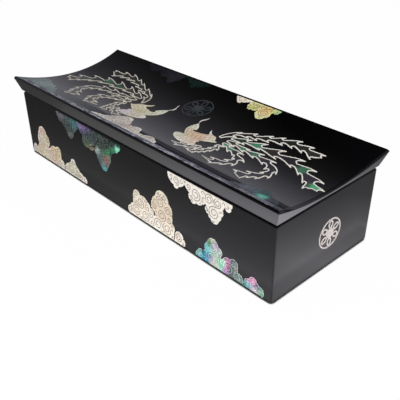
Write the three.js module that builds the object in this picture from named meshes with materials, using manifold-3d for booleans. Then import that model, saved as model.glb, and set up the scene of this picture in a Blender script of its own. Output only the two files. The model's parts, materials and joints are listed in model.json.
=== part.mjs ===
// Brush box in black lacquer with mother-of-pearl, and its dished lift-off lid.
// Millimetres, +Z up. The origin is the middle of the underside. X runs along the box and
// -Y is the front. Every piece of shell is a separate thin plate on the wood that carries it.
import * as THREE from 'three';
import { mergeVertices } from 'three/addons/utils/BufferGeometryUtils.js';
import Module from 'manifold-3d';

const wasm = await Module();
wasm.setup();

// Body
const bodyLength = 300;
const bodyWidth = 105;
const bodyHeight = 61;
const wallThickness = 7;
const floorThickness = 5;
const jointDepth = 3.5; // how far the end boards and the floor are let into a wall
const topBevel = 2.4; // round the body's top edge
const footBevel = 1.2; // round the body's foot
const cornerRadius = 1; // of the upright corners
const cornerSteps = 3;

// Felt
const liningThickness = 1;
const liningClearance = 0.3;

// Lid
const lidEdgeHeight = 13; // underside to the crest along the long edges
const lidDish = 9.6; // depth of the hollow under the crest
const lidOverhang = 0.6; // past the body, at the lid's underside
const lidLean = 4; // how far the sides lean out on their way up
const lidBevel = 1.4; // outside the crest, all round
const dishSteps = 18;
const panelThickness = 5;
const panelClearance = 1; // between the inner panel and the walls

// Shell
const shellThickness = 0.5;
const glueLine = 0.3; // between the hollow of the lid and the shell on it
const cloudMargin = 0.5; // between a wall's bevel and the clouds cut along it
const backCloudMargin = 1.9; // between the crest and the clouds along the lid's back edge
const frontCloudMargin = 5.7; // the same along its front edge
const lobeSteps = 4;
const endFlowerRadius = 11.6;
const endFlowerShift = 4; // to the right of the end board's middle, seen from outside
const endFlowerDrop = 2; // below the end board's middle
const lidFlowerRadius = 13.2;
const lidFlowerBack = 23.5; // from the lid's middle to the flower's
const flowerRim = 1.3;
const flowerHub = 0.34; // share of the flower's radius
const petalCount = 6;
const petalLine = 1;
const phoenixShift = 2.3; // of the pair, to the right of the lid's middle
const barbReach = 1.6; // how far the last of a plume's barbs stand out of its edge
const barbNotch = 0.4; // how far the edge draws in before each barb

// Levels and places that follow from the sizes above
const crestZ = bodyHeight + lidEdgeHeight;
const halfLength = bodyLength / 2;
const halfWidth = bodyWidth / 2;
const jointX = halfLength - wallThickness + jointDepth;
const jointY = halfWidth - wallThickness + jointDepth;
const innerX = halfLength - wallThickness;
const innerY = halfWidth - wallThickness;
const lidHalfLength = halfLength + lidOverhang + lidLean;
const lidHalfWidth = halfWidth + lidOverhang + lidLean;
const crestY = lidHalfWidth - lidBevel;
const crestX = lidHalfLength - lidBevel;
const dishRadius = (crestY ** 2 + lidDish ** 2) / (2 * lidDish);

// The shell work is drawn on a wall and a lid of these sizes, and stretched to the real ones.
const drawing = { length: 300, height: 61, lidX: 153.2, lidY: 55.7 };
const wallStretch = new THREE.Vector2(bodyLength / drawing.length, bodyHeight / drawing.height);
const lidStretch = new THREE.Vector2(crestX / drawing.lidX, crestY / drawing.lidY);

const lacquer = new THREE.MeshStandardMaterial({ color: 0x0c0c0e, roughness: 0.12 });
const panelLacquer = new THREE.MeshStandardMaterial({ color: 0x151210, roughness: 0.35 });
const felt = new THREE.MeshStandardMaterial({ color: 0x6e1f1c, roughness: 1 });
const paleShell = new THREE.MeshStandardMaterial({ color: 0xddd5c6, roughness: 0.25 });
const darkShell = new THREE.MeshStandardMaterial({ color: 0x5f8d84, roughness: 0.2 });
const plumeShell = new THREE.MeshStandardMaterial({ color: 0x8fa79a, roughness: 0.2 });

// Solids

function solidOf(geometry) {
  const plain = geometry.index ? geometry.toNonIndexed() : geometry.clone();
  plain.deleteAttribute('normal');
  plain.deleteAttribute('uv');
  const merged = mergeVertices(plain, 1e-4);
  return new wasm.Manifold(new wasm.Mesh({
    numProp: 3,
    vertProperties: Float32Array.from(merged.attributes.position.array),
    triVerts: Uint32Array.from(merged.index.array),
  }));
}

function geometryOf(solid) {
  const mesh = solid.getMesh();
  const geometry = new THREE.BufferGeometry();
  const xyz = new Float32Array(mesh.numVert * 3);
  for (let i = 0; i < mesh.numVert; i += 1) {
    for (let k = 0; k < 3; k += 1) xyz[3 * i + k] = mesh.vertProperties[mesh.numProp * i + k];
  }
  geometry.setAttribute('position', new THREE.BufferAttribute(xyz, 3));
  geometry.setIndex(Array.from(mesh.triVerts));
  geometry.computeVertexNormals();
  return geometry;
}

function block(x0, x1, y0, y1, z0, z1) {
  const geometry = new THREE.BoxGeometry(x1 - x0, y1 - y0, z1 - z0);
  geometry.translate((x0 + x1) / 2, (y0 + y1) / 2, (z0 + z1) / 2);
  return solidOf(geometry);
}

// A solid through sections of equal point counts, each wound anticlockwise seen from the last.
function loft(sections) {
  const count = sections[0].length;
  const xyz = sections.flat().flatMap((p) => [p.x, p.y, p.z]);
  const index = [];
  for (let s = 0; s + 1 < sections.length; s += 1) {
    for (let i = 0; i < count; i += 1) {
      const a = s * count + i;
      const b = s * count + ((i + 1) % count);
      index.push(a, b, b + count, a, b + count, a + count);
    }
  }
  const flat = sections[0].map((p) => new THREE.Vector2(p.u, p.v));
  const last = (sections.length - 1) * count;
  for (const [a, b, c] of THREE.ShapeUtils.triangulateShape(flat, [])) {
    index.push(a, c, b, last + a, last + b, last + c);
  }
  const geometry = new THREE.BufferGeometry();
  geometry.setAttribute('position', new THREE.Float32BufferAttribute(xyz, 3));
  geometry.setIndex(index);
  return solidOf(geometry);
}

// A rectangle with round corners at height z, as one section of a loft along Z
function roundedSection(halfX, halfY, radius, z) {
  const points = [];
  const centres = [[1, 1], [-1, 1], [-1, -1], [1, -1]];
  centres.forEach(([sx, sy], quarter) => {
    for (let i = 0; i <= cornerSteps; i += 1) {
      const turn = (quarter + i / cornerSteps) * Math.PI / 2;
      const x = sx * (halfX - radius) + radius * Math.cos(turn);
      const y = sy * (halfY - radius) + radius * Math.sin(turn);
      points.push({ x, y, z, u: x, v: y });
    }
  });
  return points;
}

function rectangleSection(halfX, halfY, z) {
  return [[1, 1], [-1, 1], [-1, -1], [1, -1]].map(([sx, sy]) => (
    { x: sx * halfX, y: sy * halfY, z, u: sx, v: sy }
  ));
}

// A section across the lid, as one section of a loft along X
function crossSection(profile, x) {
  return profile.map(([y, z]) => ({ x, y, z, u: y, v: z }));
}

// Body

// The outside of the body, before it is divided into boards
function bodyBlank() {
  return loft([
    roundedSection(halfLength - footBevel, halfWidth - footBevel, cornerRadius, 0),
    roundedSection(halfLength, halfWidth, cornerRadius, footBevel),
    roundedSection(halfLength, halfWidth, cornerRadius, bodyHeight - topBevel),
    roundedSection(halfLength - topBevel, halfWidth - topBevel, cornerRadius, bodyHeight),
  ]);
}

const floorSpace = block(-jointX, jointX, -jointY, jointY, 0, floorThickness);

function longBoard(side) {
  const y = [side * innerY, side * halfWidth].sort((a, b) => a - b);
  const endSpace = [side * innerY, side * jointY].sort((a, b) => a - b);
  let board = bodyBlank().intersect(block(-halfLength, halfLength, ...y, 0, bodyHeight));
  board = board.subtract(block(innerX, halfLength, ...endSpace, 0, bodyHeight));
  board = board.subtract(block(-halfLength, -innerX, ...endSpace, 0, bodyHeight));
  return geometryOf(board.subtract(floorSpace));
}

function endBoard(side) {
  const x = [side * innerX, side * halfLength].sort((a, b) => a - b);
  const board = bodyBlank().intersect(block(...x, -jointY, jointY, 0, bodyHeight));
  return geometryOf(board.subtract(floorSpace));
}

function feltSheet(halfX, halfY, thickness, z) {
  return geometryOf(loft([
    roundedSection(halfX, halfY, cornerRadius, z),
    roundedSection(halfX, halfY, cornerRadius, z + thickness),
  ]));
}

// Lid

// Height of the hollow's surface at y, the same at every x
function dishHeight(y) {
  return crestZ - lidDish + dishRadius - Math.sqrt(dishRadius ** 2 - y ** 2);
}

const dishStations = Array.from({ length: dishSteps + 1 }, (_, i) => (
  crestY * (2 * i / dishSteps - 1)
));

function lidBoard() {
  const leaned = loft([
    rectangleSection(halfLength + lidOverhang, halfWidth + lidOverhang, bodyHeight),
    rectangleSection(lidHalfLength, lidHalfWidth, crestZ - lidBevel),
    rectangleSection(lidHalfLength, lidHalfWidth, crestZ),
  ]);
  const reach = 2 * lidBevel;
  const outsideY = crestY + reach;
  const outsideZ = crestZ - reach;
  const over = dishStations.map((y) => [y, dishHeight(y)]).reverse();
  const profile = [
    [outsideY, outsideZ], ...over, [-outsideY, outsideZ],
    [-outsideY, bodyHeight], [outsideY, bodyHeight],
  ];
  // At each height the bevel starts where the leaning end face, less the bevel, stands.
  const bevelStart = (z) => (
    z === bodyHeight ? lidHalfLength
      : crestX + lidLean * (z - crestZ) / (lidEdgeHeight - lidBevel)
  );
  const endSection = (side, past) => profile.map(([y, z]) => ({
    x: side * (bevelStart(z) + past), y, z: z === bodyHeight ? z : z - past, u: y, v: z,
  }));
  const trimmed = loft([
    endSection(-1, reach), endSection(-1, 0), endSection(1, 0), endSection(1, reach),
  ]);
  return geometryOf(leaned.intersect(trimmed));
}

// Outlines of the shell work, as lists of THREE.Vector2

// An arc from a to b that bulges to the left of the way by the given share of its chord
function bulgedArc(a, b, bulge, steps) {
  if (bulge === 0) return [b.clone()];
  const chord = b.clone().sub(a);
  const points = [];
  const sagitta = bulge * chord.length();
  const radius = (chord.length() ** 2 / 4 + sagitta ** 2) / (2 * sagitta);
  const half = 2 * Math.atan(2 * bulge);
  const left = new THREE.Vector2(-chord.y, chord.x).normalize();
  const middle = a.clone().add(b).multiplyScalar(0.5);
  const centre = middle.addScaledVector(left, sagitta - radius);
  const start = a.clone().sub(centre);
  for (let i = 1; i <= steps; i += 1) {
    const turned = start.clone().rotateAround(new THREE.Vector2(), -2 * half * i / steps);
    points.push(centre.clone().add(turned));
  }
  return points;
}

// A cloud standing on its base line: points [x, height, bulge of the lobe to the next point]
function cloudOutline(valleys, stretch) {
  const points = valleys.map(([x, h]) => new THREE.Vector2(x * stretch.x, h * stretch.y));
  const outline = [points[0]];
  valleys.slice(0, -1).forEach(([, , bulge], i) => {
    const steps = bulge < 0.2 ? 2 : lobeSteps;
    outline.push(...bulgedArc(points[i], points[i + 1], bulge, steps));
  });
  return outline;
}

const moved = (outline, x, y) => outline.map((p) => new THREE.Vector2(p.x + x, p.y + y));
const hung = (outline) => outline.map((p) => new THREE.Vector2(p.x, -p.y));
const mirrored = (outline) => outline.map((p) => new THREE.Vector2(-p.x, p.y));

// A closed curve through hand-set corners, rounded between them
function smoothOutline(corners, steps, stretch) {
  const curve = new THREE.CatmullRomCurve3(
    corners.map(([x, y]) => new THREE.Vector3(x * stretch.x, y * stretch.y, 0)),
    true,
    'centripetal',
  );
  return curve.getPoints(steps).slice(0, -1).map((p) => new THREE.Vector2(p.x, p.y));
}

// A tail plume: a band along a curve, from narrow to wide, with hooked barbs on both edges
function plumeOutline({ spine, startWidth, endWidth, barbs }, stretch) {
  const curve = new THREE.CatmullRomCurve3(
    spine.map(([x, y]) => new THREE.Vector3(x * stretch.x, y * stretch.y, 0)),
  );
  const halfWidthAt = (t) => THREE.MathUtils.lerp(startWidth, endWidth, t) * stretch.y / 2;
  const at = (t, side, extra) => {
    const along = Math.min(t, 1);
    const p = curve.getPointAt(along);
    const d = curve.getTangentAt(along);
    const out = side * (halfWidthAt(along) + extra);
    const past = (t - along) * curve.getLength();
    return new THREE.Vector2(p.x + d.x * past - d.y * out, p.y + d.y * past + d.x * out);
  };
  const edge = (side) => Array.from({ length: barbs }, (_, i) => {
    const reach = barbReach * (1 + (i + 1) / barbs) / 2;
    return [
      at((i + 0.15) / barbs, side, -barbNotch),
      at((i + 0.75) / barbs, side, reach / 3),
      at((i + 1.05) / barbs, side, reach),
    ];
  }).flat();
  return [...edge(1), at(1, 1, -halfWidthAt(1)), ...edge(-1).reverse()];
}

// Plates of shell

function extruded(outline, thickness) {
  return new THREE.ExtrudeGeometry(new THREE.Shape(outline), {
    depth: thickness, bevelEnabled: false,
  });
}

// Six looped petals between a round hub and a ring, as one solid from z0 to z1
function flowerSolid(radius, x, y, z0, z1) {
  const ringSteps = 28;
  const loopSteps = 10;
  const ellipse = (rx, ry, steps) => Array.from({ length: steps }, (_, i) => (
    new THREE.Vector2(rx * Math.cos(2 * Math.PI * i / steps), ry * Math.sin(2 * Math.PI * i / steps))
  ));
  const ring = (rx, ry, line, steps) => {
    const shape = new THREE.Shape(ellipse(rx, ry, steps));
    shape.holes.push(new THREE.Path(ellipse(rx - line, ry - line, steps)));
    return new THREE.ExtrudeGeometry(shape, { depth: z1 - z0, bevelEnabled: false });
  };
  const hub = radius * flowerHub;
  const petalReach = (radius - flowerRim / 2 - hub * 0.8) / 2;
  let solid = solidOf(ring(radius, radius, flowerRim, ringSteps));
  solid = solid.add(solidOf(extruded(ellipse(hub, hub, 2 * petalCount), z1 - z0)));
  for (let i = 0; i < petalCount; i += 1) {
    const petal = ring(petalReach, petalReach * 0.78, petalLine, loopSteps);
    petal.translate(hub * 0.8 + petalReach, 0, 0);
    petal.rotateZ(Math.PI * (2 * i / petalCount + 1 / 2));
    solid = solid.add(solidOf(petal));
  }
  return solid.translate(x, y, z0);
}

// The layer that the lid's shell lies in: a band over the hollow, one glue line above it
function dishLayer() {
  const under = dishStations.map((y) => [y, dishHeight(y) + glueLine]);
  const over = dishStations.map((y) => [y, dishHeight(y) + glueLine + shellThickness]);
  const band = [...under, ...over.reverse()];
  return loft([crossSection(band, -crestX), crossSection(band, crestX)]);
}

const layer = dishLayer();

function onDish(outline) {
  const prism = extruded(outline, lidEdgeHeight * 2);
  prism.translate(0, 0, bodyHeight);
  return geometryOf(solidOf(prism).intersect(layer));
}

function flowerOnDish(radius, x, y) {
  return geometryOf(flowerSolid(radius, x, y, bodyHeight, crestZ + lidEdgeHeight).intersect(layer));
}

// Assembly

const box = new THREE.Group();

function piece(name, geometry, material, parent = box) {
  const mesh = new THREE.Mesh(geometry, material);
  mesh.name = name;
  parent.add(mesh);
}

piece('front_board', longBoard(-1), lacquer);
piece('back_board', longBoard(1), lacquer);
piece('left_end_board', endBoard(-1), lacquer);
piece('right_end_board', endBoard(1), lacquer);
piece('floor_board', geometryOf(floorSpace), panelLacquer);
piece('floor_lining', feltSheet(
  innerX - liningClearance, innerY - liningClearance, liningThickness, floorThickness,
), felt);
piece('lid_board', lidBoard(), lacquer);
piece('lid_inner_panel', geometryOf(block(
  -innerX + panelClearance, innerX - panelClearance,
  -innerY + panelClearance, innerY - panelClearance,
  bodyHeight - panelThickness, bodyHeight,
)), panelLacquer);

// Clouds on a long wall. Those that stand rise from the foot, the others hang from the top.
const wallClouds = {
  standing: {
    pale_cloud_1: [[-148.2, 0, 0.15], [-146.3, 5.4, 0.5], [-139.3, 6.4, 0.1], [-135.3, 13.4, 0.2],
      [-134, 22.2, 0.15], [-130.5, 28.4, 0.45], [-119.3, 25.5, 0.28], [-116, 15.4, 0.12],
      [-119.5, 11.7, 0.15], [-113.5, 15.4, 0.25], [-106.5, 18.5, 0.3], [-97.2, 17, 0.12],
      [-97, 9, 0.25], [-93.3, 5.4, 0], [-92.7, 0, 0]],
    pale_cloud_2: [[-91.9, 0, 0], [-91.6, 5, 0.12], [-85.3, 10.8, 0.15], [-81, 13, 0.62],
      [-73.3, 12.8, 0.2], [-67.3, 8.4, 0.2], [-63.2, 5.4, 0.42], [-58.2, 0, 0]],
    pale_cloud_3: [[2.8, 0, 0.35], [4.6, 7.2, 0.2], [8.3, 10.8, 0.12], [8.6, 17.2, 0.2],
      [9.6, 22, 0.45], [17, 22.4, 0.3], [27, 20.2, 0.3], [29.6, 15.4, 0.4], [33.4, 13.4, 0],
      [33.9, 11.2, 0], [34.6, 14.8, 0.3], [32.3, 24.7, 0.2], [36.5, 30.3, 0.52],
      [51, 28, 0.2], [54.6, 20.2, 0.1], [54.4, 13.2, 0.2], [56.7, 7.8, 0], [55.4, 0, 0]],
    pale_cloud_4: [[56.4, 0, 0], [57.6, 6, 0.5], [66, 5.8, 0.25], [67.2, 0, 0]],
    dark_cloud_1: [[80.3, 0, 0.15], [82.5, 5.2, 0.5], [87, 5, 0.1], [90.2, 9.7, 0.25],
      [92.4, 17, 0.52], [101.4, 17.2, 0.4], [104.2, 12, 0.2], [102, 9.2, 0], [102.2, 0, 0]],
    dark_cloud_2: [[102.9, 0, 0], [102.9, 7, 0.3], [106.8, 9.2, 0.3], [113.5, 12.8, 0.4],
      [119.9, 12.5, 0], [120.3, 6, 0.3], [124.8, 2.5, 0.1], [125.8, 0, 0]],
    dark_cloud_3: [[126.5, 0, 0.1], [127.2, 4.2, 0.3], [131.3, 6.7, 0.55], [136.8, 8.2, 0.1],
      [139, 6.2, 0.25], [142.8, 3.5, 0.2], [141.8, 0, 0]],
  },
  hanging: {
    dark_cloud_4: [[-94, 0, 0.15], [-91, 5, 0.3], [-85.5, 7.5, 0.2], [-82.5, 11.5, 0.3],
      [-79.5, 14.5, 0.5], [-71, 14, 0.2], [-66, 9.5, 0.2], [-62.5, 2, 0], [-62.2, 0, 0]],
    dark_cloud_5: [[-61.5, 0, 0.1], [-59, 6, 0.3], [-55.8, 9, 0.2], [-55, 14, 0.5],
      [-47.5, 17.3, 0.35], [-40, 15.8, 0.3], [-37.5, 12, 0], [-36.8, 14.5, 0.4],
      [-34.5, 19, 0.3], [-33.3, 25, 0.3], [-30.5, 29, 0.55], [-23, 28, 0.2], [-19, 23, 0.2],
      [-16.2, 16, 0.15], [-15.8, 11.5, 0.1], [-11.5, 8.7, 0.4], [-7.5, 6.8, 0.3],
      [-4.5, 1.5, 0], [-4.2, 0, 0]],
    pale_cloud_5: [[51.2, 0, 0.25], [54, 6.2, 0.15], [57.7, 7.8, 0.55], [62.3, 7.8, 0.15],
      [68.5, 3.5, 0.1], [74.3, 8.2, 0.35], [75.5, 13, 0.4], [80.3, 12.8, 0.3],
      [86.8, 11.5, 0.25], [88.8, 9.2, 0.2], [91, 9.3, 0.4], [92.5, 16.3, 0.3],
      [94.8, 19, 0.45], [102.3, 17.5, 0.3], [104.3, 13.5, 0.35], [105.2, 7.5, 0.2],
      [107.3, 4.3, 0], [108.2, 5.2, 0.5], [112.8, 3.5, 0.1], [114, 0, 0]],
  },
};

const shellFor = (name) => (name.startsWith('pale') ? paleShell : darkShell);

// A group on a wall's outer face: its x runs along the wall, its y up and its z outwards.
function wallFace(turn, distance) {
  const turned = new THREE.Group();
  turned.rotation.z = turn;
  const face = new THREE.Group();
  face.rotation.x = Math.PI / 2;
  face.position.y = -distance;
  turned.add(face);
  box.add(turned);
  return face;
}

function cloudsOnWall(side, turn) {
  const face = wallFace(turn, halfWidth);
  const low = footBevel + cloudMargin;
  const high = bodyHeight - topBevel - cloudMargin;
  for (const [name, valleys] of Object.entries(wallClouds.standing)) {
    const outline = moved(cloudOutline(valleys, wallStretch), 0, low);
    piece(`${side}_${name}`, extruded(outline, shellThickness), shellFor(name), face);
  }
  for (const [name, valleys] of Object.entries(wallClouds.hanging)) {
    const outline = moved(hung(cloudOutline(valleys, wallStretch)), 0, high);
    piece(`${side}_${name}`, extruded(outline, shellThickness), shellFor(name), face);
  }
}

function flowerOnEnd(side, turn) {
  const face = wallFace(turn, halfLength);
  const height = bodyHeight / 2 - endFlowerDrop;
  const flower = geometryOf(flowerSolid(endFlowerRadius, endFlowerShift, height, 0, shellThickness));
  piece(`${side}_flower`, flower, paleShell, face);
}

cloudsOnWall('front', 0);
cloudsOnWall('back', Math.PI);
flowerOnEnd('right', Math.PI / 2);
flowerOnEnd('left', -Math.PI / 2);

// Clouds along the lid's long edges, with their straight side towards the edge
const lidClouds = {
  back: {
    dark_cloud_1: [[-98, 0, 0.1], [-92, 3.5, 0.3], [-78, 3, 0.1], [-74, 6.5, 0.3], [-65, 8, 0.1],
      [-61, 9.5, 0.5], [-52.5, 10, 0.2], [-49, 3, 0.1], [-46.5, 0, 0]],
    dark_cloud_2: [[-45, 0, 0.1], [-41, 2.5, 0.1], [-34, 6, 0.5], [-27, 6.5, 0.15], [-20, 3, 0.2],
      [-15.5, 0, 0]],
    pale_cloud_1: [[15.8, 0, 0.1], [18.5, 3.5, 0.2], [20.3, 5.2, 0.5], [24.5, 5, 0.15],
      [30.5, 1.5, 0], [33, 4.5, 0.3], [33.5, 7.5, 0.4], [38, 8.5, 0.25], [44.5, 7.5, 0],
      [45, 8, 0.3], [46.3, 13, 0.4], [55.5, 12, 0.3], [56.3, 5.5, 0.1], [57.5, 3.5, 0.4],
      [62, 2, 0.1], [62.8, 0, 0]],
  },
  front: {
    dark_cloud_3: [[-146, 0, 0], [-145.5, 16, 0.35], [-133, 17, 0.25], [-126, 12, 0.4],
      [-116, 9.5, 0.3], [-106, 4.5, 0.3], [-99, 0, 0]],
    pale_cloud_2: [[-43, 0, 0.2], [-37.5, 5.5, 0.1], [-32, 7, 0.15], [-29, 13, 0.2],
      [-26.5, 18, 0.5], [-14, 17.5, 0.25], [-9.5, 11.5, 0.1], [-2, 11, 0.4], [8.5, 9.5, 0.2],
      [11, 4.5, 0.1], [19, 5.5, 0.4], [29.5, 6.5, 0.2], [34, 0, 0]],
    dark_cloud_4: [[108, 0, 0.2], [113, 4, 0.3], [119, 7.5, 0.3], [124.5, 9.2, 0.4],
      [134.5, 9, 0.2], [138, 5.5, 0.3], [145, 3, 0.2], [146.5, 0, 0]],
  },
};

for (const [name, valleys] of Object.entries(lidClouds.back)) {
  const outline = moved(hung(cloudOutline(valleys, lidStretch)), 0, crestY - backCloudMargin);
  piece(`lid_back_${name}`, onDish(outline), shellFor(name));
}
for (const [name, valleys] of Object.entries(lidClouds.front)) {
  const outline = moved(cloudOutline(valleys, lidStretch), 0, frontCloudMargin - crestY);
  piece(`lid_front_${name}`, onDish(outline), shellFor(name));
}
piece('lid_flower', flowerOnDish(lidFlowerRadius, 0, lidFlowerBack), darkShell);

// The right-hand phoenix. It faces the middle of the lid, and the left-hand one mirrors it.
const phoenixBody = [[18.7, 18], [19.8, 12.5], [19.2, 8.2], [22, 5.3], [24.6, 2.2], [25.8, -1.3],
  [23.6, -3.8], [25.4, -5.6], [30, -5.1], [34, -3.4], [35.4, -0.6], [34.8, 4], [37.2, 0.9],
  [41.2, -0.7], [44.7, -1.8], [47.4, -4.7], [52.4, -6.3], [48.7, -9.8], [44.2, -12.7],
  [39, -14.6], [31.2, -15.1], [26.2, -14.3], [22.4, -12.3], [19, -8], [17, -2.5], [16.4, 2.5],
  [18, 6.2], [17, 8.4], [15.5, 11], [16.5, 13.7]];
const phoenixWing = [[18.1, -16.8], [22, -15.7], [26.5, -16], [32, -16.9], [37.5, -16.7],
  [41.8, -20], [43.4, -23.4], [39.2, -26.6], [33.6, -27.7], [28.6, -27], [23.4, -24.8],
  [19.4, -21]];
const phoenixPlumes = [
  { spine: [[46, 1.5], [47.7, 8.5], [54.2, 15.5], [66.2, 19.5], [81.2, 25.5], [92, 28.2],
    [106.2, 28], [119, 25]], startWidth: 3.2, endWidth: 7.6, barbs: 8 },
  { spine: [[54, 6.2], [62, 8.2], [72, 9.4], [91, 9.6], [106, 9], [119, 5.5], [131, -1.5],
    [141, -10]], startWidth: 3.2, endWidth: 9.2, barbs: 8 },
  { spine: [[54.5, 1.2], [64, 0.6], [76, -0.9], [93, -2.8], [104.5, -7], [109, -15.5],
    [106.5, -26], [99.5, -34.5]], startWidth: 3, endWidth: 8, barbs: 8 },
  { spine: [[55, -3.9], [66, -8], [76.5, -13], [82, -21], [79.5, -29.5], [71, -35.5]],
    startWidth: 2.6, endWidth: 7.2, barbs: 6 },
  { spine: [[54.8, -9], [57.5, -14.5], [57, -22], [54.5, -29.5], [51.5, -36]],
    startWidth: 2, endWidth: 6, barbs: 5 },
  { spine: [[49.5, -21.8], [46.3, -27.5], [41, -31.5], [35, -34]],
    startWidth: 2.4, endWidth: 5.2, barbs: 4 },
];

function phoenix(side, place) {
  const set = (outline) => onDish(moved(place(outline), phoenixShift, 0));
  const rounded = (corners) => smoothOutline(corners, 2 * corners.length, lidStretch);
  piece(`${side}_phoenix_body`, set(rounded(phoenixBody)), paleShell);
  piece(`${side}_phoenix_wing`, set(rounded(phoenixWing)), paleShell);
  phoenixPlumes.forEach((plume, i) => {
    piece(`${side}_phoenix_plume_${i + 1}`, set(plumeOutline(plume, lidStretch)), plumeShell);
  });
}

phoenix('right', (outline) => outline);
phoenix('left', mirrored);

export default box;
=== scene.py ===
"""Brush box in black lacquer with mother-of-pearl: boards, dished lid, shell work, felt and studio."""
import json
import logging
import math
from dataclasses import dataclass
from enum import Enum
from typing import Callable, Sequence

import bmesh
import bpy
import numpy as np
from mathutils import Matrix, Vector

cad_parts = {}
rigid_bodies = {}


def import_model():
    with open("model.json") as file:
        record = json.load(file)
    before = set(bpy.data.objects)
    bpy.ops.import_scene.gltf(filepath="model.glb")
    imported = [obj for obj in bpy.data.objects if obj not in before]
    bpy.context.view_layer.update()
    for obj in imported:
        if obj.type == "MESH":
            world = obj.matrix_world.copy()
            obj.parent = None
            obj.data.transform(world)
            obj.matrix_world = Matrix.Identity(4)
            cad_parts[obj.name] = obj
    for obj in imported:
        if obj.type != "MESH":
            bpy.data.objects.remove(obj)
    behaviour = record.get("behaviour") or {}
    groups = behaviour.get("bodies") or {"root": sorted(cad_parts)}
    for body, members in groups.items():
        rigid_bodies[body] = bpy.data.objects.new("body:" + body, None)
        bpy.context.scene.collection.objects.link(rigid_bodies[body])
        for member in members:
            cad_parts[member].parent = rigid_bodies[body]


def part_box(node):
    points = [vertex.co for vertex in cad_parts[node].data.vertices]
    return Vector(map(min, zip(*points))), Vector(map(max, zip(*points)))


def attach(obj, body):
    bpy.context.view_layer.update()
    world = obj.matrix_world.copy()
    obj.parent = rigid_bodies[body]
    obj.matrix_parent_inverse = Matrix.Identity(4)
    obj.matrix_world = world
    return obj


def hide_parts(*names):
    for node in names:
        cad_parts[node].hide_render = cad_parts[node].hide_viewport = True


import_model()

LOG = logging.getLogger("brush_box")
MM = 0.001
Point = tuple[float, float]
Place = tuple[float, float, float]
Colour = tuple[float, float, float]
Stop = tuple[float, Colour]
Circle = tuple[float, float, float, float]
Socket = bpy.types.NodeSocket
Mesh = bpy.types.Mesh
Material = bpy.types.Material


def linear(red: float, green: float, blue: float) -> Colour:
    """Turns a colour written in 0 to 255 display steps into linear light."""
    steps = (c / 255 for c in (red, green, blue))
    return tuple(c / 12.92 if c <= 0.04045 else ((c + 0.055) / 1.055) ** 2.4 for c in steps)


def grey(value: float) -> Colour:
    """Gives a grey in linear light."""
    return (value,) * 3


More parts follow.
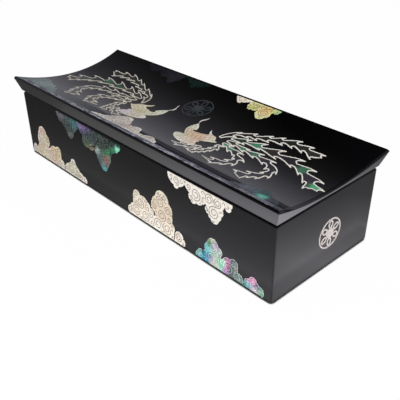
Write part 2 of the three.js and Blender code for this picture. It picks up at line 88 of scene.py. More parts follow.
class Graph:
    """A node tree under construction, for a material or for Geometry Nodes."""

    def __init__(self, tree: bpy.types.NodeTree) -> None:
        """Keeps the empty node tree that is to be filled."""
        self.tree = tree
        self.identifiers: dict[str, str] = {}

    def add(self, kind: str, inputs: dict | None = None, **settings: object) -> bpy.types.Node:
        """Adds a node, sets it up and wires it.

        Args:
            kind: The node's type name.
            inputs: A socket or a value for each input, by name or index.
            **settings: The node's own properties.

        Returns:
            The new node.
        """
        node = self.tree.nodes.new(kind)
        for name, value in settings.items():
            setattr(node, name, value)
        self.wire(node, inputs or {})
        return node

    def wire(self, node: bpy.types.Node, inputs: dict) -> None:
        """Links a socket to each of a node's inputs, or gives it a value.

        Args:
            node: The node.
            inputs: A socket or a value for each input, by name or index.
        """
        for key, value in inputs.items():
            if isinstance(value, Socket):
                self.tree.links.new(value, node.inputs[key])
            else:
                node.inputs[key].default_value = value

    def maths(self, operation: str, *values: float | Socket) -> Socket:
        """Adds a Math node with its inputs in order, and gives its result."""
        return self.add("ShaderNodeMath", dict(enumerate(values)), operation=operation).outputs[0]

    def ramp(self, factor: Socket, stops: Sequence[Stop]) -> Socket:
        """Adds a colour ramp.

        Args:
            factor: What runs along the ramp.
            stops: The place and colour of each stop.

        Returns:
            The ramp's colour.
        """
        node = self.add("ShaderNodeValToRGB", {0: factor})
        elements = node.color_ramp.elements
        while len(elements) < len(stops):
            elements.new(0.5)
        for element, (place, colour) in zip(elements, stops):
            element.position = place
            element.color = (*colour, 1)
        return node.outputs[0]

    def mix(self, blend: str, factor: float | Socket, first: object, second: object) -> Socket:
        """Adds a colour mix.

        Args:
            blend: The blend type.
            factor: How much of the second colour shows.
            first: The colour or socket underneath.
            second: The colour or socket on top.

        Returns:
            The mixed colour.
        """
        colours = (c if isinstance(c, Socket) else (*c[:3], 1) for c in (first, second))
        inputs = dict(zip((0, 6, 7), (factor, *colours)))
        return self.add("ShaderNodeMix", inputs, data_type="RGBA", blend_type=blend).outputs[2]

    def stretch(self, factor: Socket, low: float | Socket, high: float | Socket, start: float = 0.0,
                end: float = 1.0) -> Socket:
        """Stretches low to high over start to end."""
        inputs = {0: factor, 1: low, 2: high, 3: start, 4: end}
        return self.add("ShaderNodeMapRange", inputs).outputs[0]

    def noise(self, place: Socket, scale: float, **inputs: float) -> Socket:
        """Adds a noise of the given scale at a place."""
        return self.add("ShaderNodeTexNoise", {"Vector": place, "Scale": scale, **inputs}).outputs[0]

    def bump(self, height: Socket, strength: float, distance: float) -> Socket:
        """Turns a height into a tilt of the surface."""
        return self.add("ShaderNodeBump", {"Height": height, "Strength": strength,
                                           "Distance": distance}).outputs[0]

    def scale(self, colour: Socket, factor: Socket) -> Socket:
        """Multiplies a colour by a number."""
        return self.add("ShaderNodeVectorMath", {0: colour, "Scale": factor}, operation="SCALE").outputs[0]

    def open(self, sockets: dict[str, str]) -> bpy.types.Node:
        """Gives a Geometry Nodes tree its named inputs.

        Args:
            sockets: The socket type of each input, by name.

        Returns:
            The tree's input node.
        """
        face = self.tree.interface
        face.new_socket("Geometry", in_out="OUTPUT", socket_type="NodeSocketGeometry")
        for name, kind in sockets.items():
            self.identifiers[name] = face.new_socket(name, in_out="INPUT", socket_type=kind).identifier
        return self.add("NodeGroupInput")

    def close(self, geometry: Socket, material: Socket) -> None:
        """Ends a Geometry Nodes tree in real geometry with its material.

        Args:
            geometry: What the tree made.
            material: The material it gets.
        """
        real = self.add("GeometryNodeRealizeInstances", {0: geometry}).outputs[0]
        dressed = self.add("GeometryNodeSetMaterial", {"Geometry": real, "Material": material}).outputs[0]
        self.add("NodeGroupOutput", {0: dressed})


def hardened(holder: bpy.types.Object) -> Mesh:
    """Turns an object and its modifiers into a plain mesh, and takes the modifiers off.

    Args:
        holder: The object.

    Returns:
        The plain mesh.
    """
    graph = bpy.context.evaluated_depsgraph_get()
    result = bpy.data.meshes.new_from_object(holder.evaluated_get(graph))
    holder.modifiers.clear()
    return result


def grow(name: str, graph: Graph, base: Mesh, values: dict[str, object],
         finish: Callable[[bpy.types.Object], None] | None = None) -> Mesh:
    """Runs a Geometry Nodes tree on a mesh and keeps the result as a plain mesh.

    Args:
        name: What the result is called.
        graph: The tree.
        base: The mesh it starts from.
        values: A value for each of the tree's inputs.
        finish: Adds further modifiers, if given.

    Returns:
        The finished mesh.
    """
    carrier = bpy.data.objects.new(name, base)
    bpy.context.scene.collection.objects.link(carrier)
    modifier = carrier.modifiers.new("growth", "NODES")
    modifier.node_group = graph.tree
    for key, value in values.items():
        modifier[graph.identifiers[key]] = value
    if finish:
        finish(carrier)
    result = hardened(carrier)
    bpy.data.objects.remove(carrier)
    result.name = name
    return result


def arrays_of(mesh: Mesh) -> tuple[np.ndarray, list[list[int]]]:
    """Reads a mesh.

    Args:
        mesh: The mesh.

    Returns:
        Its points and its faces.
    """
    points = np.empty(len(mesh.vertices) * 3)
    mesh.vertices.foreach_get("co", points)
    return points.reshape(-1, 3), [list(p.vertices) for p in mesh.polygons]


def mesh_of(name: str, points: np.ndarray, faces: Sequence[Sequence[int]], material: Material,
            tints: np.ndarray | None = None, crease: float = 30.0) -> Mesh:
    """Makes a smooth mesh with creases.

    Args:
        name: Its name.
        points: Its points in metres.
        faces: Its faces, wound to face out.
        material: Its material.
        tints: A linear colour for each point, if it has them.
        crease: The angle in degrees past which an edge stays sharp.

    Returns:
        The mesh.
    """
    mesh = bpy.data.meshes.new(name)
    mesh.from_pydata(points.tolist(), [], faces)
    mesh.validate()
    mesh.materials.append(material)
    mesh.polygons.foreach_set("use_smooth", [True] * len(mesh.polygons))
    mesh.set_sharp_from_angle(angle=math.radians(crease))
    if tints is not None:
        layer = mesh.attributes.new("tint", "FLOAT_COLOR", "POINT")
        layer.data.foreach_set("color", np.column_stack([tints, np.ones(len(tints))]).ravel())
    mesh.update()
    return mesh


def settle(name: str, mesh: Mesh, body: str, slot: str, *nodes: str) -> bpy.types.Object:
    """Puts a finished piece in the scene, on the body that carries it.

    Args:
        name: The piece's name.
        mesh: Its mesh, already in place.
        body: The body it moves with.
        slot: Not used.
        *nodes: The solids it stands for.

    Returns:
        The piece.
    """
    piece = bpy.data.objects.new(name, mesh)
    bpy.context.scene.collection.objects.link(piece)
    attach(piece, body)
    if nodes:
        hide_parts(*nodes)
    LOG.info("%s: %d faces on %s", name, len(mesh.polygons), body)
    return piece


# Finishes


def blank_finish(name: str) -> tuple[Material, Graph, bpy.types.Node]:
    """Starts a material.

    Args:
        name: Its name.

    Returns:
        The material, its tree and its shader.
    """
    made = bpy.data.materials.new(name)
    made.use_nodes = True
    return made, Graph(made.node_tree), made.node_tree.nodes["Principled BSDF"]


@dataclass(frozen=True)
class Lacquer:
    """Black lacquer, rubbed to a gloss.

    The roughness runs from the best to the least rubbed places. The ripple is the strength of its waves.
    """

    name: str
    deep: Colour = linear(4, 4, 5)
    worn: Colour = linear(9, 8, 10)
    roughness: tuple[float, float] = (0.05, 0.11)
    ripple: float = 0.03
    coat: float = 0.7
    index: float = 1.5

    def material(self) -> Material:
        """Builds the material: faint cloudy depth, rubbing marks and a shallow ripple.

        Returns:
            The material.
        """
        made, g, shader = blank_finish(self.name)
        place = g.add("ShaderNodeTexCoord").outputs["Object"]
        cloudy = g.noise(place, 14.0, Detail=3.0)
        rubbed = g.noise(place, 160.0, Detail=4.0)
        ripple = g.noise(place, 60.0, Detail=1.0)
        g.wire(shader, {
            "Base Color": g.ramp(cloudy, [(0.3, self.deep), (0.7, self.worn)]),
            "Roughness": g.stretch(rubbed, 0.35, 0.75, *self.roughness),
            "Normal": g.bump(ripple, self.ripple, 0.0004),
            "IOR": self.index, "Coat Weight": self.coat, "Coat Roughness": 0.03})
        return made


@dataclass(frozen=True)
class Felt:
    """Short-pile felt."""

    name: str
    dark: Colour = linear(84, 16, 20)
    light: Colour = linear(132, 34, 36)

    def material(self) -> Material:
        """Builds the material: matted fibres in two tones, with a soft sheen.

        Returns:
            The material.
        """
        made, g, shader = blank_finish(self.name)
        place = g.add("ShaderNodeTexCoord").outputs["Object"]
        matted = g.noise(place, 900.0, Detail=6.0, Roughness=0.7, Distortion=1.2)
        patches = g.noise(place, 40.0, Detail=2.0)
        height = g.maths("ADD", matted, g.maths("MULTIPLY", patches, 0.4))
        g.wire(shader, {
            "Base Color": g.ramp(height, [(0.5, self.dark), (0.9, self.light)]),
            "Normal": g.bump(matted, 0.5, 0.0004), "Roughness": 0.95, "Sheen Weight": 0.35})
        return made


@dataclass(frozen=True)
class Nacre:
    """Polished shell, coloured by each piece's own tint, with grown layers and a drift of other colours.

    Attributes:
        play: The colours that drift over the tint, by the height of the noise that they follow.
        play_share: How much of them shows.
        vein: The colour of the growth lines.
        grain: The scale of the drift, in waves to the metre.
        blend: How the drifting colours lie over the tint.
        drawn_out: How much longer the pattern is along the box than across it.
    """

    name: str
    play: Sequence[Stop]
    play_share: float
    vein: Colour
    vein_share: float
    grain: float
    roughness: float = 0.22
    blend: str = "MIX"
    drawn_out: float = 1.0

    def material(self) -> Material:
        """Builds the material: the tint, a drift of other colours over it, and fine darker growth lines.

        Returns:
            The material.
        """
        made, g, shader = blank_finish(self.name)
        place = g.add("ShaderNodeTexCoord").outputs["Object"]
        place = g.add("ShaderNodeVectorMath", {0: place, 1: (1 / self.drawn_out, 1.0, 1.0)},
                      operation="MULTIPLY").outputs[0]
        tint = g.add("ShaderNodeAttribute", attribute_name="tint", attribute_type="GEOMETRY").outputs["Color"]
        drift = g.noise(place, self.grain, Detail=3.0, Distortion=1.5)
        lines = g.noise(place, self.grain * 2.2, Detail=4.0, Distortion=3.5)
        fine = g.noise(place, self.grain * 6, Detail=2.0)
        colour = g.mix(self.blend, self.play_share, tint, g.ramp(drift, self.play))
        veined = g.maths("MULTIPLY", g.stretch(lines, 0.5, 0.75), self.vein_share)
        colour = g.mix("MULTIPLY", veined, colour, self.vein)
        g.wire(shader, {
            "Base Color": g.scale(colour, g.stretch(fine, 0.3, 0.7, 0.9, 1.12)),
            "Roughness": g.stretch(fine, 0.0, 1.0, self.roughness * 0.7, self.roughness * 1.5),
            "Normal": g.bump(lines, 0.08, 0.0003)})
        return made


class Shell(Enum):
    """The kinds of shell, each with its finish."""

    PALE = Nacre(
        "pale_nacre", [(0.3, linear(240, 234, 220)), (0.5, linear(230, 210, 196)),
                       (0.68, linear(222, 228, 214)), (0.8, linear(244, 240, 236))],
        play_share=0.22, vein=linear(186, 166, 144), vein_share=0.4, grain=80.0)
    DARK = Nacre(
        "abalone", [(0.3, (0.1, 0.17, 0.19)), (0.41, (0.5, 0.85, 0.74)), (0.49, (0.52, 0.34, 0.5)),
                    (0.56, (0.9, 0.98, 0.84)), (0.63, (0.3, 0.5, 0.5)), (0.72, (0.14, 0.26, 0.26))],
        play_share=0.8, vein=linear(44, 52, 54), vein_share=0.85, grain=290.0, roughness=0.18,
        blend="OVERLAY")
    MARBLED = Nacre(
        "marbled_abalone", [(0.34, linear(18, 20, 28)), (0.44, linear(120, 120, 138)),
                            (0.5, linear(28, 32, 42)), (0.56, linear(206, 208, 218)),
                            (0.61, linear(120, 124, 140)), (0.7, linear(40, 44, 56))],
        play_share=0.72, vein=linear(60, 70, 84), vein_share=0.7, grain=150.0, roughness=0.16,
        drawn_out=4.0)
    DEEP = Nacre(
        "deep_abalone", [(0.3, linear(10, 14, 14)), (0.5, linear(30, 40, 38)),
                         (0.62, linear(44, 40, 52)), (0.74, linear(22, 56, 48))],
        play_share=0.3, vein=linear(90, 96, 96), vein_share=0.6, grain=110.0, roughness=0.12)

    @property
    def slot(self) -> str:
        """Names the material slot of a cloud or flower in this shell."""
        return "pale_shell" if self is Shell.PALE else "dark_shell"


class Materials:
    """Every finish of the box, made once."""

    def __init__(self) -> None:
        """Builds them all."""
        self.gloss = Lacquer("gloss_lacquer").material()
        # The lid's lacquer is the gloss lacquer with a higher index, and its leaning sides get one higher
        # still: brighter copies of one lacquer, a painted reflection
        self.rim = Lacquer("lid_lacquer_brighter_reflection", index=1.95).material()
        self.side = Lacquer("lid_side_lacquer_brightest_reflection", index=2.5, coat=0.85).material()
        self.satin = Lacquer("satin_lacquer", linear(14, 12, 12), linear(24, 20, 18), roughness=(0.25, 0.4),
                             ripple=0.15, coat=0.0).material()
        brown = Lacquer("brown_lines", linear(70, 54, 42), linear(104, 84, 66), roughness=(0.3, 0.45),
                        ripple=0.1, coat=0.0)
        dark = Lacquer("dark_lines", linear(22, 28, 28), linear(40, 44, 46), roughness=(0.2, 0.35),
                       ripple=0.1, coat=0.0)
        self.lines = {Shell.PALE: brown.material(), Shell.DARK: dark.material()}
        self.felt = Felt("wine_felt").material()
        self.shell = {kind: kind.value.material() for kind in Shell}


# Surfaces that carry the shell work


class Face(Enum):
    """The faces of the box that carry shell."""

    FRONT = "front"
    BACK = "back"
    LEFT = "left"
    RIGHT = "right"
    LID = "lid"


@dataclass
class BoxForm:
    """The form of the body and lid in millimetres, with its outside read from the frame.

    The overhang is how far the lid stands past the body at its underside, and the lean how much further its
    sides go on their way up. The dish is the depth of the hollow under the crest.
    """

    length: float = 300.0
    width: float = 105.0
    height: float = 61.0
    wall: float = 7.0
    joint_depth: float = 3.5
    floor: float = 5.0
    top_bevel: float = 2.4
    foot_bevel: float = 1.2
    corner: float = 1.0
    overhang: float = 0.6
    lean: float = 4.0
    edge_height: float = 13.0
    dish: float = 9.6
    lid_bevel: float = 1.4

    def __post_init__(self) -> None:
        """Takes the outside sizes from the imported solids."""
        low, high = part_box("front_board")
        self.length = round((high.x - low.x) / MM, 3)
        self.height = round(high.z / MM, 3)
        self.width = round(-2 * low.y / MM, 3)
        self.crest_y = self.width / 2 + self.overhang + self.lean - self.lid_bevel
        self.radius = (self.crest_y ** 2 + self.dish ** 2) / (2 * self.dish)

    def hollow(self, y: np.ndarray) -> np.ndarray:
        """Gives the height of the lid's hollow at y."""
        y = np.clip(y, -self.crest_y, self.crest_y)
        return self.height + self.edge_height - self.dish + self.radius - np.sqrt(self.radius ** 2 - y ** 2)

    def place(self, face: Face, points: np.ndarray) -> np.ndarray:
        """Sets drawn points on a face.

        Args:
            face: The face.
            points: Rows of across, up and out from the face, in millimetres.

        Returns:
            The points in metres, in the frame.
        """
        u, v, w = points.T
        half_length, half_width = self.length / 2, self.width / 2
        rows = {
            Face.FRONT: lambda: (u, -half_width - w, v),
            Face.BACK: lambda: (-u, half_width + w, v),
            Face.RIGHT: lambda: (half_length + w, u, v),
            Face.LEFT: lambda: (-half_length - w, -u, v),
            Face.LID: lambda: (u, v, self.hollow(v) + w),
        }[face]()
        return np.stack(rows, 1) * MM


# Drawing


def arc(start: Point, end: Point, bulge: float, pitch: float) -> list[Point]:
    """Draws an arc that bulges to the left of its way.

    Args:
        start: Where it starts; not among the points.
        end: Where it ends.
        bulge: Its height as a share of its chord.
        pitch: The distance between its points.

    Returns:
        Its points, the end included.
    """
    ax, ay = start
    dx, dy = end[0] - ax, end[1] - ay
    chord = math.hypot(dx, dy)
    steps = max(2, math.ceil(chord * (1 + bulge) / pitch))
    if bulge == 0:
        return [(ax + dx * i / steps, ay + dy * i / steps) for i in range(1, steps + 1)]
    sagitta = bulge * chord
    radius = (chord ** 2 / 4 + sagitta ** 2) / (2 * sagitta)
    cx = (ax + end[0]) / 2 - dy / chord * (sagitta - radius)
    cy = (ay + end[1]) / 2 + dx / chord * (sagitta - radius)
    first = math.atan2(ay - cy, ax - cx)
    sweep = 4 * math.atan(2 * bulge)
    turns = [first - sweep * i / steps for i in range(1, steps + 1)]
    return [(cx + radius * math.cos(turn), cy + radius * math.sin(turn)) for turn in turns]


def round_corners(half_length: float, half_width: float, corner: float, steps: int) -> list[Point]:
    """Draws a rectangle with round corners, centred.

    Args:
        half_length: Half its size across.
        half_width: Half its size up.
        corner: The radius of its corners.
        steps: The steps in each corner.

    Returns:
        Its closed outline, anticlockwise.
    """
    out = []
    for quarter, (sx, sy) in enumerate([(1, 1), (-1, 1), (-1, -1), (1, -1)]):
        for i in range(steps + 1):
            turn = (quarter + i / steps) * math.pi / 2
            out.append((sx * (half_length - corner) + corner * math.cos(turn),
                        sy * (half_width - corner) + corner * math.sin(turn)))
    return out


def scalloped(start: Point, line: Sequence[Point], depth: float, width: float = 2.6) -> list[Point]:
    """Breaks a drawn edge into small scallops.

    Args:
        start: The point before the first.
        line: The edge's points.
        depth: How far the scallops stand out.
        width: The width of a scallop, about.

    Returns:
        The scalloped edge, with its last point where it was.
    """
    points = np.array([start, *line])
    steps = np.hypot(*np.diff(points, axis=0).T)
    along = np.concatenate([[0], np.cumsum(steps)])
    count = max(1, round(along[-1] / width))
    way = np.gradient(points, axis=0)
    out = np.column_stack([-way[:, 1], way[:, 0]]) / np.hypot(*way.T)[:, None]
    swell = depth * np.abs(np.sin(math.pi * count * along / along[-1]))
    return [tuple(p) for p in (points + out * swell[:, None])[1:].tolist()]


def spline(corners: Sequence[Point], pitch: float, closed: bool = False) -> list[Point]:
    """Rounds a line through its corners.

    Args:
        corners: The corners.
        pitch: The distance between points, about.
        closed: Whether the line closes.

    Returns:
        The points of a centripetal curve through the corners.
    """
    pts = [np.array(c, float) for c in corners]
    count = len(pts)
    ends = [pts[-1], *pts, pts[0], pts[1]] if closed else [2 * pts[0] - pts[1], *pts, 2 * pts[-1] - pts[-2]]
    out: list[Point] = []
    for i in range(count if closed else count - 1):
        p = ends[i:i + 4]
        t = [0.0]
        for a, b in zip(p, p[1:]):
            t.append(t[-1] + max(np.linalg.norm(b - a), 1e-4) ** 0.5)
        steps = max(2, math.ceil(np.linalg.norm(p[2] - p[1]) / pitch))
        for k in range(steps):
            s = t[1] + (t[2] - t[1]) * k / steps
            level = list(p)
            for depth in range(1, 4):
                level = [((t[j + depth] - s) * level[j] + (s - t[j]) * level[j + 1]) / (t[j + depth] - t[j])
                         for j in range(4 - depth)] if depth < 3 else [
                    ((t[2] - s) * level[0] + (s - t[1]) * level[1]) / (t[2] - t[1])]
            out.append(tuple(level[0]))
    return out if closed else [*out, tuple(pts[-1])]


@dataclass
class Sheet:
    """A flat outline cut into cells, ready to be given thickness."""

    points: np.ndarray
    faces: list[list[int]]

    @classmethod
    def cut(cls, outline: Sequence[Point], cell: float) -> "Sheet":
        """Fills an outline and divides it.

        Args:
            outline: The closed outline in millimetres, either way round.
            cell: The largest cell, in millimetres.

        Returns:
            The divided sheet, facing up.
        """
        bm = bmesh.new()
        face = bm.faces.new([bm.verts.new((x, y, 0)) for x, y in outline])
        face.normal_update()
        if face.normal.z < 0:
            face.normal_flip()
        bmesh.ops.triangulate(bm, faces=[face], ngon_method="EAR_CLIP")
        low = np.min(outline, axis=0)
        high = np.max(outline, axis=0)
        for axis in (0, 1):
            normal = Vector((1 - axis, axis, 0))
            for k in range(1, math.ceil((high[axis] - low[axis]) / cell)):
                bmesh.ops.bisect_plane(bm, geom=[*bm.verts, *bm.edges, *bm.faces], dist=1e-5,
                                       plane_co=normal * float(low[axis] + k * cell), plane_no=normal)
        bmesh.ops.remove_doubles(bm, verts=bm.verts, dist=1e-4)
        bm.verts.index_update()
        points = np.array([v.co[:2] for v in bm.verts])
        faces = [[v.index for v in f.verts] for f in bm.faces if f.calc_area() > 1e-7]
        bm.free()
        return cls(points, faces)

    def plate(self, under: float, over: float, edge: float) -> tuple[np.ndarray, list[list[int]]]:
        """Gives the sheet thickness, with its upper edge eased.

        Args:
            under: The height of its back.
            over: The height of its face.
            edge: How far its upper edge is eased.

        Returns:
            The points and faces of a closed plate.
        """
        count = len(self.points)
        sides: dict[tuple[int, int], int] = {}
        for f in self.faces:
            for a, b in zip(f, f[1:] + f[:1]):
                sides[(a, b)] = sides.get((a, b), 0) + 1
        rim = [(a, b) for (a, b) in sides if (b, a) not in sides]
        inward = np.zeros((count, 2))
        for a, b in rim:
            way = self.points[b] - self.points[a]
            left = np.array([-way[1], way[0]]) / max(np.hypot(*way), 1e-9)
            inward[a] += left
            inward[b] += left
        size = np.maximum(np.hypot(*inward.T), 1e-9)
        inward = inward / size[:, None] * np.where(size > 1e-6, 1, 0)[:, None]
        top = np.column_stack([self.points + inward * edge, np.full(count, over)])
        bottom = np.column_stack([self.points, np.full(count, under)])
        on_rim = sorted({i for pair in rim for i in pair})
        ring = {i: 2 * count + k for k, i in enumerate(on_rim)}
        shoulder = np.column_stack([self.points[on_rim], np.full(len(on_rim), over - edge)])
        faces = [list(f) for f in self.faces] + [[i + count for i in reversed(f)] for f in self.faces]
        for a, b in rim:
            faces.append([b, a, ring[a], ring[b]])
            faces.append([ring[b], ring[a], a + count, b + count])
        return np.vstack([top, bottom, shoulder]), faces


@dataclass(frozen=True)
class Spot:
    """A patch of colour in a piece of shell."""

    at: Point
    colour: Colour
    reach: float

    def paler(self, gain: float, lift: float) -> "Spot":
        """Gives the same patch in brighter shell, the dark colours lifted the most."""
        return Spot(self.at, tuple(c * gain + (1 - c) * lift for c in self.colour), self.reach)


def spot_list(*rows: tuple[float, float, tuple[int, int, int], float]) -> list[Spot]:
    """Makes patches from rows of across, up, colour in 0 to 255 display steps, and reach."""
    return [Spot((x, y), linear(*colour), reach) for x, y, colour, reach in rows]


def tinted(points: np.ndarray, spots: Sequence[Spot]) -> np.ndarray:
    """Blends a piece's spots into a colour for each point.

    Args:
        points: Rows of across and up.
        spots: The patches.

    Returns:
        Rows of linear colour.
    """
    weights = []
    for spot in spots:
        apart = (points[:, 0] - spot.at[0]) ** 2 + (points[:, 1] - spot.at[1]) ** 2
        weights.append(np.exp(-apart / spot.reach ** 2) + 1e-6)
    shares = np.stack(weights, 1)
    return shares @ np.array([spot.colour for spot in spots]) / shares.sum(1)[:, None]


@dataclass(frozen=True)
class Packing:
    """How circles are packed into an outline, in millimetres.

    Attributes:
        margin: The least distance from the outline.
        largest: The largest radius.
        least: The smallest radius worth placing.
        gap: The least distance between circles.
        pitch: The distance between the places tried.
        turn: The angle in radians from one circle's aim to the next's.
    """

    margin: float
    largest: float
    least: float
    gap: float
    pitch: float = 0.6
    turn: float = 2.4

    def fill(self, outline: Sequence[Point]) -> list[Circle]:
        """Packs an outline, the largest circles first.

        Args:
            outline: The closed outline.

        Returns:
            Rows of across, up, radius and aim.
        """
        edge = np.array(outline)
        after = np.roll(edge, -1, axis=0)
        across, up = (np.arange(a, b, self.pitch) for a, b in zip(edge.min(0), edge.max(0)))
        grid = np.stack(np.meshgrid(across, up), -1).reshape(-1, 2)
        crossed = (edge[:, 1] > grid[:, 1:]) != (after[:, 1] > grid[:, 1:])
        rise = np.where(edge[:, 1] == after[:, 1], 1.0, after[:, 1] - edge[:, 1])
        meets = edge[:, 0] + (grid[:, 1:] - edge[:, 1]) / rise * (after[:, 0] - edge[:, 0])
        at = grid[((meets > grid[:, :1]) & crossed).sum(1) % 2 == 1]
        room = np.hypot(at[:, None, 0] - edge[:, 0], at[:, None, 1] - edge[:, 1]).min(1) - self.margin
        rows: list[Circle] = []
        while len(at) and room.max() > self.least:
            best = int(np.argmax(np.minimum(room, self.largest)))
            radius = min(float(room[best]), self.largest)
            rows.append((*at[best].tolist(), radius, self.turn * len(rows)))
            room = np.minimum(room, np.hypot(*(at - at[best]).T) - radius - self.gap)
        return rows


Valley = tuple[float, float, float]


@dataclass(frozen=True)
class Cloud:
    """A cloud cut from shell, rising from its base line or hanging from it.

    Attributes:
        node: Its name on its face.
        kind: The shell it is cut from.
        valleys: For each valley between two lobes, its place along the base line, its height, and the bulge
            of the lobe that follows.
        spots: Its colours.
        hangs: Whether it hangs from its base line.
        rim: How much paler the rim and the whorls of a dark cloud are; at none it has no rim.
        scallop: How far the small scallops stand out of each lobe.
        curled: Whether whorls are engraved in it.
    """

    node: str
    kind: Shell
    valleys: Sequence[Valley]
    spots: Sequence[Spot]
    hangs: bool = False
    rim: float = 0.3
    scallop: float = 0.32
    curled: bool = True

    def brim(self, base: float, pitch: float) -> list[Point]:
        """Draws the cloud's lobes, from one end of the base line to the other.

        Args:
            base: The height of the base line.
            pitch: The distance between points.

        Returns:
            The open line.
        """
        sign = -1 if self.hangs else 1
        points = [(x, h) for x, h, _ in self.valleys]
        out = [points[0]]
        for start, end, (_, _, bulge) in zip(points, points[1:], self.valleys):
            line = arc(start, end, bulge, pitch)
            out += scalloped(start, line, self.scallop) if bulge >= LEAST_SCALLOPED else line
        return [(x, base + sign * h) for x, h in out]

    def outline(self, base: float, pitch: float) -> list[Point]:
        """Draws the cloud's closed outline on a base line of the given height."""
        line = self.brim(base, pitch)
        return [*line, *arc(line[-1], line[0], 0, 4 * pitch)[:-1]]


LEAST_SCALLOPED = 0.1  # the least bulge of a lobe that is scalloped
CLOUD_WHORLS = Packing(margin=0.6, largest=5.2, least=0.9, gap=0.15)
WHORL_SIZES = ((3.2, 9.0, 1.8), (2.0, 3.2, 1.2), (0.0, 2.0, 0.7))  # least and most radius, and turns


